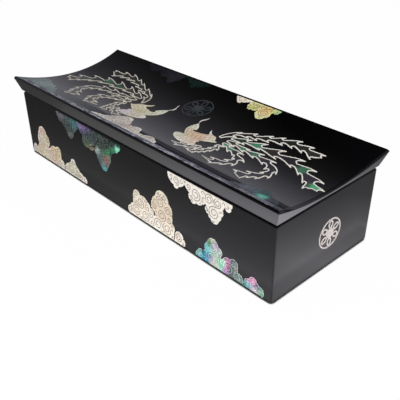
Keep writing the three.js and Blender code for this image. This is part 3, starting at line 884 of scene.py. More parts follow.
class ShellTrees:
    """The Geometry Nodes trees of the shell work.

    Attributes:
        hub_gap: The gap between a flower's hub and its petals, in millimetres.
        ring_gap: The gap between its petals and its ring.
        squash: The width of a petal as a share of its length.
        heavy: How much wider a petal's line is at its tip than at its root.
    """

    hub_gap = 0.35
    ring_gap = 1.0
    squash = 0.7
    heavy = 1.9

    def __init__(self) -> None:
        """Builds the trees."""
        self.strip = self._strip()
        self.whorls = self._whorls()
        self.rosette = self._rosette()

    @staticmethod
    def _ribbon(g: Graph, curve: Socket, width: Socket, thickness: Socket) -> Socket:
        """Sweeps a flat bar along a curve that lies in the XY plane.

        Args:
            g: The tree.
            curve: The curve.
            width: The bar's width.
            thickness: The bar's thickness.

        Returns:
            The bar.
        """
        upright = g.add("GeometryNodeSetCurveNormal", {"Curve": curve}, mode="Z_UP").outputs[0]
        section = g.add("GeometryNodeCurvePrimitiveQuadrilateral",
                        {"Width": width, "Height": thickness}).outputs[0]
        return g.add("GeometryNodeCurveToMesh", {"Curve": upright, "Profile Curve": section,
                                                 "Fill Caps": True}).outputs[0]

    def _strip(self) -> Graph:
        """Builds the tree that lays a strip of shell along drawn lines.

        Returns:
            The tree.
        """
        g = Graph(bpy.data.node_groups.new("shell_strip", "GeometryNodeTree"))
        entry = g.open({"Lines": "NodeSocketGeometry", "Width": "NodeSocketFloat",
                        "Thickness": "NodeSocketFloat", "Material": "NodeSocketMaterial"})
        curve = g.add("GeometryNodeMeshToCurve", {0: entry.outputs["Lines"]}).outputs[0]
        bar = self._ribbon(g, curve, entry.outputs["Width"], entry.outputs["Thickness"])
        g.close(bar, entry.outputs["Material"])
        return g

    def _whorls(self) -> Graph:
        """Builds the tree that sets a spiral on every point, turned and sized by its attributes.

        Returns:
            The tree.
        """
        g = Graph(bpy.data.node_groups.new("engraved_whorls", "GeometryNodeTree"))
        sizes = ("Turns", "Inner", "Outer", "Width", "Thickness")
        entry = g.open({"Centres": "NodeSocketGeometry", **{n: "NodeSocketFloat" for n in sizes},
                        "Material": "NodeSocketMaterial"})
        reach, aim = (g.add("GeometryNodeInputNamedAttribute", {"Name": n}, data_type="FLOAT").outputs[0]
                      for n in ("reach", "aim"))
        spiral = g.add("GeometryNodeCurveSpiral", {
            "Resolution": 13, "Rotations": entry.outputs["Turns"], "Start Radius": entry.outputs["Inner"],
            "End Radius": entry.outputs["Outer"], "Height": 0.0}).outputs[0]
        turn = g.add("ShaderNodeCombineXYZ", {"Z": aim}).outputs[0]
        placed = g.add("GeometryNodeInstanceOnPoints", {
            "Points": entry.outputs["Centres"], "Instance": spiral, "Rotation": turn,
            "Scale": reach}).outputs[0]
        real = g.add("GeometryNodeRealizeInstances", {0: placed}).outputs[0]
        bar = self._ribbon(g, real, entry.outputs["Width"], entry.outputs["Thickness"])
        g.close(bar, entry.outputs["Material"])
        return g

    def _rosette(self) -> Graph:
        """Builds the tree of a ring with looped petals round its hub.

        Returns:
            The tree.
        """
        g = Graph(bpy.data.node_groups.new("ringed_flower", "GeometryNodeTree"))
        sizes = ("Radius", "Hub", "Rim Width", "Petal Line", "Thickness")
        entry = g.open({**{n: "NodeSocketFloat" for n in sizes}, "Petals": "NodeSocketInt",
                        "Material": "NodeSocketMaterial"})
        radius, hub, rim, petal_line, thickness = (entry.outputs[n] for n in sizes)
        m = g.maths
        middle_of_rim = m("SUBTRACT", radius, m("MULTIPLY", rim, 0.5))
        ring = g.add("GeometryNodeCurvePrimitiveCircle", {"Resolution": 72, "Radius": middle_of_rim},
                     mode="RADIUS").outputs[0]
        ring = self._ribbon(g, ring, rim, thickness)
        inner = m("ADD", hub, self.hub_gap)
        tip = m("SUBTRACT", m("SUBTRACT", radius, rim), self.ring_gap)
        reach = m("MULTIPLY", 0.5, m("SUBTRACT", tip, inner))
        loop = g.add("GeometryNodeCurvePrimitiveCircle", {"Resolution": 28, "Radius": reach},
                     mode="RADIUS").outputs[0]
        middle = m("ADD", inner, reach)
        shift = g.add("ShaderNodeCombineXYZ", {"X": middle}).outputs[0]
        loop = g.add("GeometryNodeTransform", {"Geometry": loop, "Translation": shift,
                                               "Scale": (1.0, self.squash, 1.0)}).outputs[0]
        out = g.add("ShaderNodeSeparateXYZ", {0: g.add("GeometryNodeInputPosition").outputs[0]}).outputs[0]
        weight = g.stretch(out, middle, tip, 1.0, self.heavy)
        loop = g.add("GeometryNodeSetCurveRadius", {"Curve": loop, "Radius": weight}).outputs[0]
        petals = entry.outputs["Petals"]
        spread = g.add("GeometryNodeMeshLine", {"Count": petals, "Offset": (0.0, 0.0, 0.0)}).outputs[0]
        step = m("DIVIDE", math.tau, petals)
        order = g.add("GeometryNodeInputIndex").outputs[0]
        turn = g.add("ShaderNodeCombineXYZ", {"Z": m("MULTIPLY", m("ADD", order, 0.5), step)}).outputs[0]
        loops = g.add("GeometryNodeInstanceOnPoints", {"Points": spread, "Instance": loop,
                                                       "Rotation": turn}).outputs[0]
        loops = g.add("GeometryNodeRealizeInstances", {0: loops}).outputs[0]
        loops = self._ribbon(g, loops, petal_line, thickness)
        both = g.add("GeometryNodeJoinGeometry")
        for part in (ring, loops):
            g.tree.links.new(part, both.inputs[0])
        g.close(both.outputs[0], entry.outputs["Material"])
        return g


def line_mesh(name: str, line: Sequence[Point], closed: bool) -> Mesh:
    """Makes a mesh of a drawn line.

    Args:
        name: Its name.
        line: The line's points.
        closed: Whether it closes on itself.

    Returns:
        The mesh of edges.
    """
    edges = [(i, i + 1) for i in range(len(line) - 1)]
    if closed:
        edges.append((len(line) - 1, 0))
    mesh = bpy.data.meshes.new(name)
    mesh.from_pydata([(x, y, 0.0) for x, y in line], edges, [])
    return mesh


@dataclass
class ShellWork:
    """How shell is cut, engraved and set on the box, in millimetres.

    Attributes:
        under: The height of a plate's back over its face of the box.
        over: The height of its front.
        edge: How far its upper edge is eased.
        pitch: The distance between points along a plate's outline.
        fine_pitch: The same along a rim.
        cell: The largest cell of a plate.
        whorl_heart: The inner radius of a whorl as a share of its outer one.
        line_depth: The thickness of the lacquer or shell in an engraved line.
        gain: How much brighter the rim and the whorls of a dark cloud are.
        crease: The angle in degrees past which an edge of a strip stays sharp.
    """

    form: BoxForm
    trees: ShellTrees
    finishes: Materials
    under: float = -0.15
    over: float = 0.28
    edge: float = 0.1
    pitch: float = 0.7
    fine_pitch: float = 0.5
    cell: float = 2.5
    whorl_heart: float = 0.25
    whorl_line: float = 0.45
    line_depth: float = 0.08
    rim_line: float = 0.6
    gain: float = 1.6
    crease: float = 50.0

    def plate(self, name: str, face: Face, outline: Sequence[Point], kind: Shell, spots: Sequence[Spot],
              cell: float | None = None, sink: float = 0.0) -> Mesh:
        """Cuts a plate of shell and sets it on a face.

        Args:
            name: Its name.
            face: The face that carries it.
            outline: Its outline.
            kind: The kind of shell.
            spots: Its colours.
            cell: The largest cell, if other than usual.
            sink: How much lower than other plates its front lies.

        Returns:
            The plate, in place.
        """
        sheet = Sheet.cut(outline, cell or self.cell)
        points, faces = sheet.plate(self.under, self.over - sink, self.edge)
        tints = tinted(points[:, :2], spots)
        return mesh_of(name, self.form.place(face, points), faces, self.finishes.shell[kind], tints)

    def strip(self, name: str, face: Face, line: Sequence[Point], width: float, kind: Shell,
              spots: Sequence[Spot], closed: bool = False) -> Mesh:
        """Lays a strip of shell along a line on a face.

        Args:
            name: The mesh's name.
            face: The face that carries it.
            line: The line.
            width: The strip's width.
            kind: The kind of shell.
            spots: Its colours.
            closed: Whether the line closes on itself.

        Returns:
            The strip, in place.
        """
        material = self.finishes.shell[kind]
        grown = grow(name, self.trees.strip, line_mesh(name, line, closed),
                     {"Width": width, "Thickness": self.over - self.under, "Material": material})
        return self._laid(grown, face, material, (self.over + self.under) / 2, spots)

    def engraving(self, name: str, face: Face, centres: Sequence[Circle], kind: Shell, turns: float,
                  width: float, spots: Sequence[Spot] | None = None) -> Mesh:
        """Draws whorls: engraved and filled with lacquer, or in paler shell if given its colours.

        Args:
            name: The mesh's name.
            face: The face.
            centres: Rows of across, up, reach and aim.
            kind: The kind of shell that is engraved.
            turns: How many turns each whorl has.
            width: The line's width.
            spots: The lines' colours, if they are shell.

        Returns:
            The lines, in place.
        """
        base = bpy.data.meshes.new(name)
        base.from_pydata([(c[0], c[1], 0.0) for c in centres], [], [])
        for key, column in (("reach", 2), ("aim", 3)):
            values = [c[column] for c in centres]
            base.attributes.new(key, "FLOAT", "POINT").data.foreach_set("value", values)
        material = self.finishes.shell[kind] if spots else self.finishes.lines[kind]
        grown = grow(name, self.trees.whorls, base, {
            "Turns": turns, "Inner": self.whorl_heart, "Outer": 1.0, "Width": width,
            "Thickness": self.line_depth, "Material": material})
        return self._laid(grown, face, material, self.over, spots)

    def cloud(self, name: str, face: Face, cloud: Cloud, base: float) -> Mesh:
        """Makes a cloud with its engraved whorls and, if it is dark, its paler rim.

        Args:
            name: The mesh's name.
            face: The face that carries it.
            cloud: The cloud.
            base: The height of its base line.

        Returns:
            The cloud, in place.
        """
        parts = [self.plate(name, face, cloud.outline(base, self.pitch), cloud.kind, cloud.spots)]
        dark = cloud.kind is Shell.DARK
        paler = [spot.paler(self.gain, cloud.rim) for spot in cloud.spots]
        rows = CLOUD_WHORLS.fill(cloud.outline(base, self.fine_pitch)) if cloud.curled else []
        for least, most, turns in WHORL_SIZES:
            group = [row for row in rows if least <= row[2] < most]
            if group:
                parts.append(self.engraving(name + "_whorls", face, group, cloud.kind, turns,
                                            self.whorl_line, paler if dark else None))
        if dark and cloud.rim:
            parts.append(self.strip(name + "_rim", face, cloud.brim(base, self.fine_pitch), self.rim_line,
                                    Shell.DARK, paler))
        return joined(name, *parts)

    def inlay(self, clouds: Sequence[Cloud], before: str, face: Face, base: float, body: str) -> None:
        """Sets clouds along a base line, each as its own piece.

        Args:
            clouds: The clouds.
            before: What their names start with.
            face: The face that carries them.
            base: The height of the base line.
            body: The body that they move with.
        """
        for cloud in clouds:
            node = before + cloud.node
            settle("inlaid_" + node, self.cloud(node, face, cloud, base), body, cloud.kind.slot, node)

    def _laid(self, flat: Mesh, face: Face, material: Material, lift: float,
              spots: Sequence[Spot] | None) -> Mesh:
        """Lays a flat mesh on a face.

        Args:
            flat: The mesh, in drawn millimetres.
            face: The face.
            material: The material.
            lift: How far its middle stands out of the face.
            spots: Its colours, if it is shell.

        Returns:
            The mesh, in place.
        """
        points, faces = arrays_of(flat)
        tints = tinted(points[:, :2], spots) if spots else None
        placed = self.form.place(face, points + [0, 0, lift])
        return mesh_of(flat.name, placed, faces, material, tints, self.crease)


SHELL_CREASE = 30  # the angle in degrees past which an edge of a plate stays sharp


def joined(name: str, *parts: Mesh) -> Mesh:
    """Joins meshes into one, keeping their materials and tints.

    Args:
        name: The new mesh's name.
        *parts: The meshes.

    Returns:
        The joined mesh.
    """
    bm = bmesh.new()
    materials: list[Material] = []
    for part in parts:
        shift = len(materials)
        materials.extend(part.materials)
        first = len(bm.faces)
        bm.from_mesh(part)
        bm.faces.ensure_lookup_table()
        for f in bm.faces[first:]:
            f.material_index += shift
    mesh = bpy.data.meshes.new(name)
    bm.to_mesh(mesh)
    bm.free()
    for material in materials:
        mesh.materials.append(material)
    mesh.set_sharp_from_angle(angle=math.radians(SHELL_CREASE))
    return mesh


# The drawn clouds


CREAM = (232, 222, 206)
WHITE = (240, 236, 228)
# The pale clouds' tints run darker towards the left end of the wall: partly the shell's own colour, partly
# painted shade. Near the foot of pale_cloud_3 and pale_cloud_4 they are near white: partly the shell's own
# colour, partly painted light.
WALL_STANDING = [
    Cloud("pale_cloud_1", Shell.PALE, [
        (-147.8, 0, 0.05), (-146.2, 5.4, 0.42), (-139.2, 6, 0), (-136, 10.4, 0), (-134.6, 12.6, 0.1),
        (-134.2, 20.6, 0.06), (-130.9, 27, 0.44), (-119.4, 25.6, 0.24), (-116.4, 15, 0),
        (-119.5, 11.7, 0), (-113.5, 14.8, 0.16), (-104.5, 17.7, 0.3), (-96.9, 17, 0.03),
        (-97.2, 8.6, 0.2), (-93.3, 4.9, 0), (-92.7, 0, 0)
    ], spot_list(
        (-127, 30, (208, 176, 168), 3.2), (-125, 34, (206, 208, 194), 2.2),
        (-134, 20, (206, 198, 196), 3), (-122, 20, (200, 194, 166), 4), (-127, 14, (206, 190, 174), 4),
        (-132, 6, (204, 196, 160), 4), (-118, 15, (222, 204, 188), 2), (-119, 5, (212, 202, 182), 4),
        (-110, 9, (206, 184, 168), 4), (-104, 14, (212, 188, 152), 4), (-99, 19, (214, 206, 170), 3),
        (-94, 4, (224, 220, 208), 4), (-143, 6, (196, 188, 190), 4), (-128, 3, (212, 206, 170), 3))),
    Cloud("pale_cloud_2", Shell.PALE, [
        (-91.9, 0, 0), (-91.4, 4.5, 0.1), (-85.2, 9.7, 0.06), (-80.4, 12.5, 0.6), (-73.5, 12.4, 0.03),
        (-67.3, 7.3, 0.12), (-63.1, 4.9, 0.4), (-58.2, 0, 0)
    ], spot_list(
        (-76, 18.5, (228, 226, 226), 2.4), (-77, 12, (206, 208, 180), 4), (-85, 7, (214, 210, 194), 4),
        (-80, 3, (210, 206, 188), 4), (-70, 7, (216, 212, 196), 4), (-61, 4, (232, 220, 220), 4))),
    Cloud("pale_cloud_3", Shell.PALE, [
        (2.8, 0, 0.35), (4.6, 7.2, 0.2), (8.3, 10.8, 0.08), (8.9, 16.6, 0.12), (9.6, 20.6, 0.48),
        (17.2, 21.2, 0.2), (26, 19.2, 0.22), (29.2, 15.4, 0.3), (32.9, 12.4, 0), (33.7, 10.2, 0),
        (35.2, 12.6, 0.05), (34.6, 15.4, 0.25), (31.2, 19.6, 0.1), (32.2, 24.4, 0.12),
        (36.4, 29.6, 0.5), (50.8, 28.6, 0.2), (54.2, 20.4, 0.08), (54.2, 13.4, 0.2), (56.6, 7.8, 0),
        (55.6, 0, 0)
    ], spot_list(
        (15, 22, CREAM, 8), (43, 34, (228, 218, 200), 6), (43, 22, (226, 210, 186), 8),
        (20, 14, (242, 232, 214), 8), (12, 5, (250, 240, 226), 6), (30, 4, (254, 250, 240), 8),
        (48, 5, (252, 244, 230), 6))),
    Cloud("pale_cloud_4", Shell.PALE, [
        (56.4, 0, 0), (57.6, 6, 0.5), (66, 5.8, 0.25), (67.2, 0, 0)
    ], spot_list((62, 5, (250, 240, 228), 8))),
    Cloud("dark_cloud_1", Shell.DARK, [
        (80.3, 0, 0.15), (82.5, 5.2, 0.5), (87, 5, 0.1), (90.2, 9.7, 0.25), (92.4, 17, 0.52),
        (101.4, 17.2, 0.4), (104.2, 12, 0.2), (102, 9.2, 0), (102.2, 0, 0)
    ], spot_list(
        (84, 6, (132, 176, 168), 2), (88, 5, (44, 130, 160), 3), (92, 13, (110, 180, 186), 3),
        (97, 23, (176, 178, 150), 1.8), (99, 19, (172, 152, 178), 2.2), (94, 19, (96, 132, 96), 2.2),
        (103, 15, (168, 174, 166), 2.5), (97, 12, (150, 170, 150), 2), (95, 6, (158, 144, 176), 2),
        (100, 4, (190, 196, 180), 3), (92, 8, (56, 120, 140), 2.5))),
    Cloud("dark_cloud_2", Shell.DARK, [
        (102.9, 0, 0), (102.9, 7, 0.3), (106.8, 9.2, 0.3), (113.5, 12.8, 0.4), (119.9, 12.5, 0),
        (120.3, 6, 0.3), (124.8, 2.5, 0.1), (125.8, 0, 0)
    ], spot_list(
        (104, 7, (120, 206, 160), 2), (107, 9, (176, 214, 190), 1.8), (112, 13, (190, 110, 160), 1.6),
        (110.5, 9, (212, 104, 168), 1.6), (108.7, 4.5, (176, 112, 176), 1.8),
        (105, 3, (150, 200, 176), 2), (115, 10, (92, 100, 96), 3), (119, 10, (124, 128, 126), 2.5),
        (118, 4, (88, 98, 94), 3), (122, 3, (120, 140, 130), 2))),
    Cloud("dark_cloud_3", Shell.DARK, [
        (126.5, 0, 0.1), (127.2, 4.2, 0.3), (131.3, 6.7, 0.55), (136.8, 8.2, 0.1), (139, 6.2, 0.25),
        (142.8, 3.5, 0.2), (141.8, 0, 0)
    ], spot_list(
        (134, 9, (206, 134, 168), 2.2), (132, 5, (150, 160, 180), 2), (137, 7, (110, 90, 130), 2),
        (139, 5, (120, 160, 134), 2), (136, 3, (210, 190, 200), 2), (129, 2, (84, 150, 150), 2))),
]
WALL_HANGING = [
    Cloud("dark_cloud_4", Shell.DARK, [
        (-93.4, 0, 0.15), (-91.5, 4, 0.3), (-86, 7, 0.25), (-82, 9.5, 0.3), (-80, 13, 0.1),
        (-79, 15.5, 0.42), (-71.5, 15.5, 0.1), (-70.5, 11, 0.25), (-66.5, 8, 0.25), (-62.5, 3, 0),
        (-62.2, 0, 0)
    ], spot_list(
        (-88, 56, (92, 86, 92), 3), (-87, 51, (58, 54, 60), 3), (-78, 56, (66, 72, 72), 3),
        (-76, 49, (48, 55, 55), 4), (-75, 42, (80, 84, 80), 3), (-68, 54, (56, 88, 88), 3),
        (-66, 49, (62, 80, 84), 3), (-82, 51, (52, 54, 58), 2)), hangs=True, rim=0.07),
    Cloud("dark_cloud_5", Shell.DARK, [
        (-61.2, 0, 0.1), (-59.5, 4.6, 0.35), (-55.4, 7.2, 0), (-55.6, 12, 0.4), (-48, 17, 0.3),
        (-40.5, 15.8, 0.25), (-38.4, 12.6, 0), (-37.8, 14.5, 0.4), (-35.8, 19.5, 0.25),
        (-33.6, 25, 0.25), (-31.4, 28, 0.5), (-24.4, 27.2, 0.15), (-20.8, 22.6, 0.15),
        (-18.6, 16.4, 0.1), (-16.4, 11.6, 0.1), (-11.6, 8.2, 0.3), (-7.6, 6.2, 0.25), (-4.6, 1.8, 0),
        (-4.2, 0, 0)
    ], spot_list(
        (-57, 56, (104, 86, 120), 2.2), (-52, 54, (92, 70, 110), 2.4), (-46, 56, (84, 72, 100), 2.2),
        (-48, 51, (47, 50, 57), 3), (-56, 51, (72, 62, 84), 2), (-50, 46, (56, 68, 60), 4),
        (-51, 41, (84, 92, 70), 2), (-44, 41, (112, 100, 84), 2.2), (-41, 53, (50, 56, 56), 4),
        (-33, 52, (45, 51, 48), 4), (-22, 51, (42, 50, 44), 5), (-25, 44, (50, 104, 74), 1.6),
        (-20.5, 46.5, (52, 138, 92), 1.7), (-16, 49, (44, 110, 76), 1.6), (-12, 51, (40, 104, 76), 1.5),
        (-25, 49, (42, 54, 46), 2.5), (-14, 56, (30, 40, 38), 3), (-8, 57, (26, 50, 44), 1.8),
        (-8, 53, (130, 214, 180), 1.6), (-35, 42, (128, 134, 128), 2), (-30, 38, (70, 84, 80), 3),
        (-24, 38, (150, 70, 64), 2), (-21, 40, (96, 104, 92), 2), (-26, 34, (104, 98, 100), 2.5),
        (-27, 29, (72, 136, 140), 1.8)), hangs=True, rim=0.07),
    Cloud("pale_cloud_5", Shell.PALE, [
        (52, 0, 0.14), (54, 6, 0.12), (57.9, 7.8, 0.55), (62.4, 7.8, 0.12), (69, 3.4, 0.08),
        (74.3, 7.8, 0.3), (75.3, 12.8, 0.4), (80.3, 12.6, 0.22), (86.6, 11.2, 0.2), (88.8, 9.4, 0.1),
        (91.4, 9.6, 0.36), (92.6, 16.2, 0.2), (94.6, 18.8, 0.42), (102, 17.3, 0.24), (103.9, 13.3, 0.3),
        (104.9, 7.8, 0.12), (106.9, 4.4, 0), (108.2, 5, 0.48), (112.8, 3.5, 0.1), (114, 0, 0)
    ], spot_list((60, 54, WHITE, 10), (80, 50, WHITE, 10), (98, 46, WHITE, 10)), hangs=True),
]
LID_BACK = [
    Cloud("lid_back_dark_cloud_1", Shell.DARK, [
        (-98, 0, 0.1), (-92, 3.5, 0.3), (-78, 3, 0.1), (-74, 6.5, 0.3), (-65, 8, 0.1), (-61, 9.5, 0.5),
        (-52.5, 10, 0.2), (-49, 3, 0.1), (-46.5, 0, 0)
    ], spot_list((-80, 50, (24, 22, 30), 10), (-58, 46, (32, 30, 36), 8)), hangs=True, rim=0.0),
    Cloud("lid_back_dark_cloud_2", Shell.DARK, [
        (-45, 0, 0.1), (-41, 2.5, 0.1), (-34, 6, 0.5), (-27, 6.5, 0.15), (-20, 3, 0.2), (-15.5, 0, 0)
    ], spot_list((-30, 48, (15, 27, 25), 8)), hangs=True, rim=0.0),
    Cloud("lid_back_pale_cloud_1", Shell.PALE, [
        (15.8, 0, 0.1), (18.5, 3.2, 0.2), (20.5, 4.8, 0.5), (24.2, 4.6, 0.1), (30.5, 1.6, 0),
        (32.6, 4, 0.25), (33.6, 7, 0.4), (38, 7.8, 0.25), (43.4, 6.8, 0), (45, 7, 0.3),
        (46.6, 12.4, 0.4), (54.8, 11.6, 0.3), (56, 5.5, 0.1), (57.5, 3.3, 0.4), (61.8, 1.8, 0.1),
        (62.6, 0, 0)
    ], spot_list(
        (22, 51, CREAM, 7), (37, 47, (196, 200, 104), 4), (43, 52, (206, 204, 130), 4),
        (50, 50, (224, 184, 96), 4.5), (50, 41, (212, 212, 150), 4), (57, 50, (190, 206, 110), 2.5),
        (61, 52, (148, 200, 128), 2.5)), hangs=True),
]
LID_FRONT = [
    Cloud("lid_front_dark_cloud_3", Shell.DARK, [
        (-146, 0, 0), (-145.5, 16, 0.35), (-133, 17, 0.25), (-126, 12, 0.4), (-116, 9.5, 0.3),
        (-106, 4.5, 0.3), (-99, 0, 0)
    ], spot_list(
        (-140, -36, (110, 114, 116), 8), (-128, -45, (126, 132, 134), 10),
        (-112, -45, (114, 120, 122), 8), (-142, -48, (106, 112, 120), 6)), rim=0.0, curled=False),
    Cloud("lid_front_pale_cloud_2", Shell.PALE, [
        (-43.5, 0, 0.1), (-38.5, 3.2, 0.1), (-34, 4.2, 0.1), (-30.5, 9, 0.2), (-27.4, 16, 0.48),
        (-14.4, 16.4, 0.22), (-9.8, 10.4, 0.1), (-3, 9.4, 0.38), (7.6, 8, 0.15), (10.6, 4, 0.08),
        (17.5, 4.4, 0.35), (28, 5, 0.2), (34, 0, 0)
    ], spot_list(
        (-20, -33, (210, 206, 196), 5), (-25, -38, (208, 196, 196), 4), (-16, -40, (216, 210, 204), 5),
        (-4, -43, (204, 192, 184), 5), (3, -40, (232, 228, 224), 4), (-38, -48, (226, 222, 220), 5),
        (0, -49, (228, 222, 216), 3), (12, -48, (222, 216, 210), 5), (24, -45, (214, 210, 206), 5),
        (29, -49, (228, 224, 222), 4))),
    Cloud("lid_front_dark_cloud_4", Shell.DARK, [
        (108, 0, 0.2), (113, 4, 0.3), (119, 7.5, 0.3), (124.5, 9.2, 0.4), (134.5, 9, 0.2),
        (138, 5.5, 0.3), (145, 3, 0.2), (146.5, 0, 0)
    ], spot_list(
        (134, -49, (96, 184, 168), 2.6), (131, -42, (50, 66, 72), 3), (118, -48, (88, 88, 102), 3),
        (126, -48, (66, 76, 86), 4), (142, -47, (52, 54, 62), 5), (113, -47, (56, 58, 68), 4)), rim=0.0),
]


# Wood

WOOD_CREASE = 28  # the angle in degrees past which an edge of a board stays sharp


def eased(profile: Sequence[Point], radius: float, steps: int = 3) -> list[Point]:
    """Rounds the inner corners of an open profile.

    Args:
        profile: Its corners.
        radius: How far from each corner the rounding starts.
        steps: The number of its facets.

    Returns:
        The rounded profile.
    """
    out = [profile[0]]
    for before, at, after in zip(profile, profile[1:], profile[2:]):
        a, b, c = (np.array(p, float) for p in (before, at, after))
        start = b + (a - b) / np.linalg.norm(a - b) * radius
        end = b + (c - b) / np.linalg.norm(c - b) * radius
        for k in range(steps + 1):
            t = k / steps
            out.append(tuple((1 - t) ** 2 * start + 2 * t * (1 - t) * b + t ** 2 * end))
    return [*out, profile[-1]]


def block(first: Sequence[float], second: Sequence[float], ease: float = 0.0) -> Mesh:
    """Makes a rectangular board, with eased edges if asked.

    Args:
        first: A corner in millimetres.
        second: The corner opposite.
        ease: The width of its eased edges.

    Returns:
        The board.
    """
    low, high = np.sort([first, second], axis=0)
    bm = bmesh.new()
    bmesh.ops.create_cube(bm, size=1)
    middle, size = (np.add(low, high) / 2 * MM).tolist(), (np.subtract(high, low) * MM).tolist()
    bm.transform(Matrix.Translation(middle) @ Matrix.Diagonal((*size, 1)))
    if ease:
        bmesh.ops.bevel(bm, geom=list(bm.edges), offset=ease * MM, segments=2, profile=0.5, affect="EDGES")
    mesh = bpy.data.meshes.new("board")
    bm.to_mesh(mesh)
    bm.free()
    return mesh


def polished(name: str, mesh: Mesh, material: Material, cuts: Sequence[tuple[str, Mesh]] = ()) -> Mesh:
    """Cuts a blank, smooths its eased edges and gives it its finish.

    Args:
        name: The result's name.
        mesh: The blank.
        material: Its finish.
        cuts: The Boolean operations and what cuts.

    Returns:
        The finished mesh.
    """
    holder = bpy.data.objects.new(name, mesh)
    scene = bpy.context.scene.collection.objects
    scene.link(holder)
    tools = []
    for operation, shape in cuts:
        tool = bpy.data.objects.new("cutter", shape)
        scene.link(tool)
        tools.append(tool)
        cut = holder.modifiers.new("cut", "BOOLEAN")
        cut.operation, cut.object, cut.solver = operation, tool, "EXACT"
    result = hardened(holder)
    for tool in tools:
        bpy.data.objects.remove(tool)
    result.polygons.foreach_set("use_smooth", [True] * len(result.polygons))
    result.set_sharp_from_angle(angle=math.radians(WOOD_CREASE))
    holder.data = result
    holder.modifiers.new("weight", "WEIGHTED_NORMAL").keep_sharp = True
    result = hardened(holder)
    bpy.data.objects.remove(holder)
    result.name = name
    result.materials.clear()
    result.materials.append(material)
    result.polygons.foreach_set("material_index", [0] * len(result.polygons))
    return result


@dataclass
class Body:
    """The box under the lid: four boards, the floor and its felt, and the shell on the walls.

    Attributes:
        floor_ease: How far the edges of the floor are eased.
        run_in: How far the blank's foot and top run in from its sides, before the inside is cut.
        far: The reach of the cutting blocks, well outside the box.
        past: How far they stand past the foot and the top.
        overlap: How far a notch's block stands past the inside of the wall.
        felt_edge: How far the felt's upper edge is eased.
        felt_wave: Half the height of its waves.
        cloud_margin: The distance from the bevels to the clouds.
        flower_at: How far the flower on an end is from the board's middle, across and down.
    """

    form: BoxForm
    work: ShellWork
    finishes: Materials
    corner_steps: int = 4
    ease: float = 0.35
    floor_ease: float = 0.25
    run_in: Point = (4.0, 5.0)
    far: float = 400.0
    past: float = 10.0
    overlap: float = 5.0
    felt_gap: float = 0.3
    felt: float = 1.0
    felt_corner: float = 1.0
    felt_edge: float = 0.35
    felt_wave: float = 0.06
    cloud_margin: float = 0.5
    flower_at: Point = (4.0, 2.0)
    flower_radius: float = 11.6

    def blank(self) -> Mesh:
        """Lofts the outside of the body before it is divided.

        Returns:
            The solid blank.
        """
        f = self.form
        foot, top = self.run_in
        profile = eased([(foot, 0), (f.foot_bevel, 0), (0, f.foot_bevel), (0, f.height - f.top_bevel),
                         (f.top_bevel, f.height), (top, f.height)], self.ease)
        rings = []
        for inset, z in profile:
            ring = round_corners(f.length / 2 - inset, f.width / 2 - inset, f.corner, self.corner_steps)
            rings.append([(x, y, z) for x, y in ring])
        count = len(rings[0])
        faces = [list(range(count))[::-1], [(len(rings) - 1) * count + i for i in range(count)]]
        for r in range(len(rings) - 1):
            for i in range(count):
                j = (i + 1) % count
                faces.append([r * count + i, r * count + j, (r + 1) * count + j, (r + 1) * count + i])
        mesh = bpy.data.meshes.new("blank")
        mesh.from_pydata((np.array(rings).reshape(-1, 3) * MM).tolist(), [], faces)
        return mesh

    def build_boards(self) -> None:
        """Cuts the four boards out of the blank, so that their outsides run on without a step."""
        f = self.form
        x0, y0 = f.length / 2 - f.wall, f.width / 2 - f.wall
        xj, yj = x0 + f.joint_depth, y0 + f.joint_depth
        low, out, top = -self.past, self.far, f.height + self.past
        space = ((-xj, -yj, low), (xj, yj, f.floor))
        for side, sign in (("front", -1), ("back", 1)):
            keep = block((-out, sign * y0, low), (out, sign * out, top))
            cuts = [("INTERSECT", keep), ("DIFFERENCE", block(*space))]
            for end in (-1, 1):
                notch = block((end * x0, sign * (y0 - self.overlap), low), (end * out, sign * yj, top))
                cuts.append(("DIFFERENCE", notch))
            self.set_board(side + "_board", cuts)
        for side, sign in (("left", -1), ("right", 1)):
            keep = block((sign * x0, -yj, low), (sign * out, yj, top))
            self.set_board(side + "_end_board", [("INTERSECT", keep), ("DIFFERENCE", block(*space))])
        floor = block((-xj, -yj, 0), (xj, yj, f.floor), self.floor_ease)
        settle("dressed_floor", polished("floor", floor, self.finishes.satin), "box", "satin_lacquer",
               "floor_board")

    def set_board(self, node: str, cuts: Sequence[tuple[str, Mesh]]) -> None:
        """Cuts a board out of a fresh blank and sets it in the scene."""
        board = polished(node, self.blank(), self.finishes.gloss, cuts)
        settle("dressed_" + node, board, "box", "gloss_lacquer", node)

    def build_felt(self) -> None:
        """Lays the felt: a soft-edged sheet, slightly uneven."""
        f = self.form
        x, y = (size / 2 - f.wall - self.felt_gap for size in (f.length, f.width))
        outline = round_corners(x, y, self.felt_corner, self.corner_steps)
        points, faces = Sheet.cut(outline, self.work.cell).plate(f.floor, f.floor + self.felt, self.felt_edge)
        waves = np.sin(points[:, 0] * 0.9 + np.sin(points[:, 1] * 0.7)) * np.sin(points[:, 1] * 1.1)
        upper = points[:, 2] > f.floor + self.felt / 2
        points[:, 2] += np.where(upper, waves * self.felt_wave - self.felt_wave, 0)
        mesh = mesh_of("felt_lining", points * MM, faces, self.finishes.felt)
        felt = settle("felt_lining", mesh, "box", "felt", "floor_lining")

    def build_shell(self) -> None:
        """Sets the clouds on the long walls and the flowers on the ends."""
        low = self.form.foot_bevel + self.cloud_margin
        high = self.form.height - self.form.top_bevel - self.cloud_margin
        for side, face in (("front_", Face.FRONT), ("back_", Face.BACK)):
            self.work.inlay(WALL_STANDING, side, face, low, "box")
            self.work.inlay(WALL_HANGING, side, face, high, "box")
        across, down = self.flower_at
        for node, face in (("left_flower", Face.LEFT), ("right_flower", Face.RIGHT)):
            flower = Flower(self.work, face, (across, self.form.height / 2 - down), self.flower_radius,
                            Shell.PALE, spot_list((4, 28, (228, 221, 220), 20)))
            settle("inlaid_" + node, flower.build(node), "box", flower.kind.slot, node)


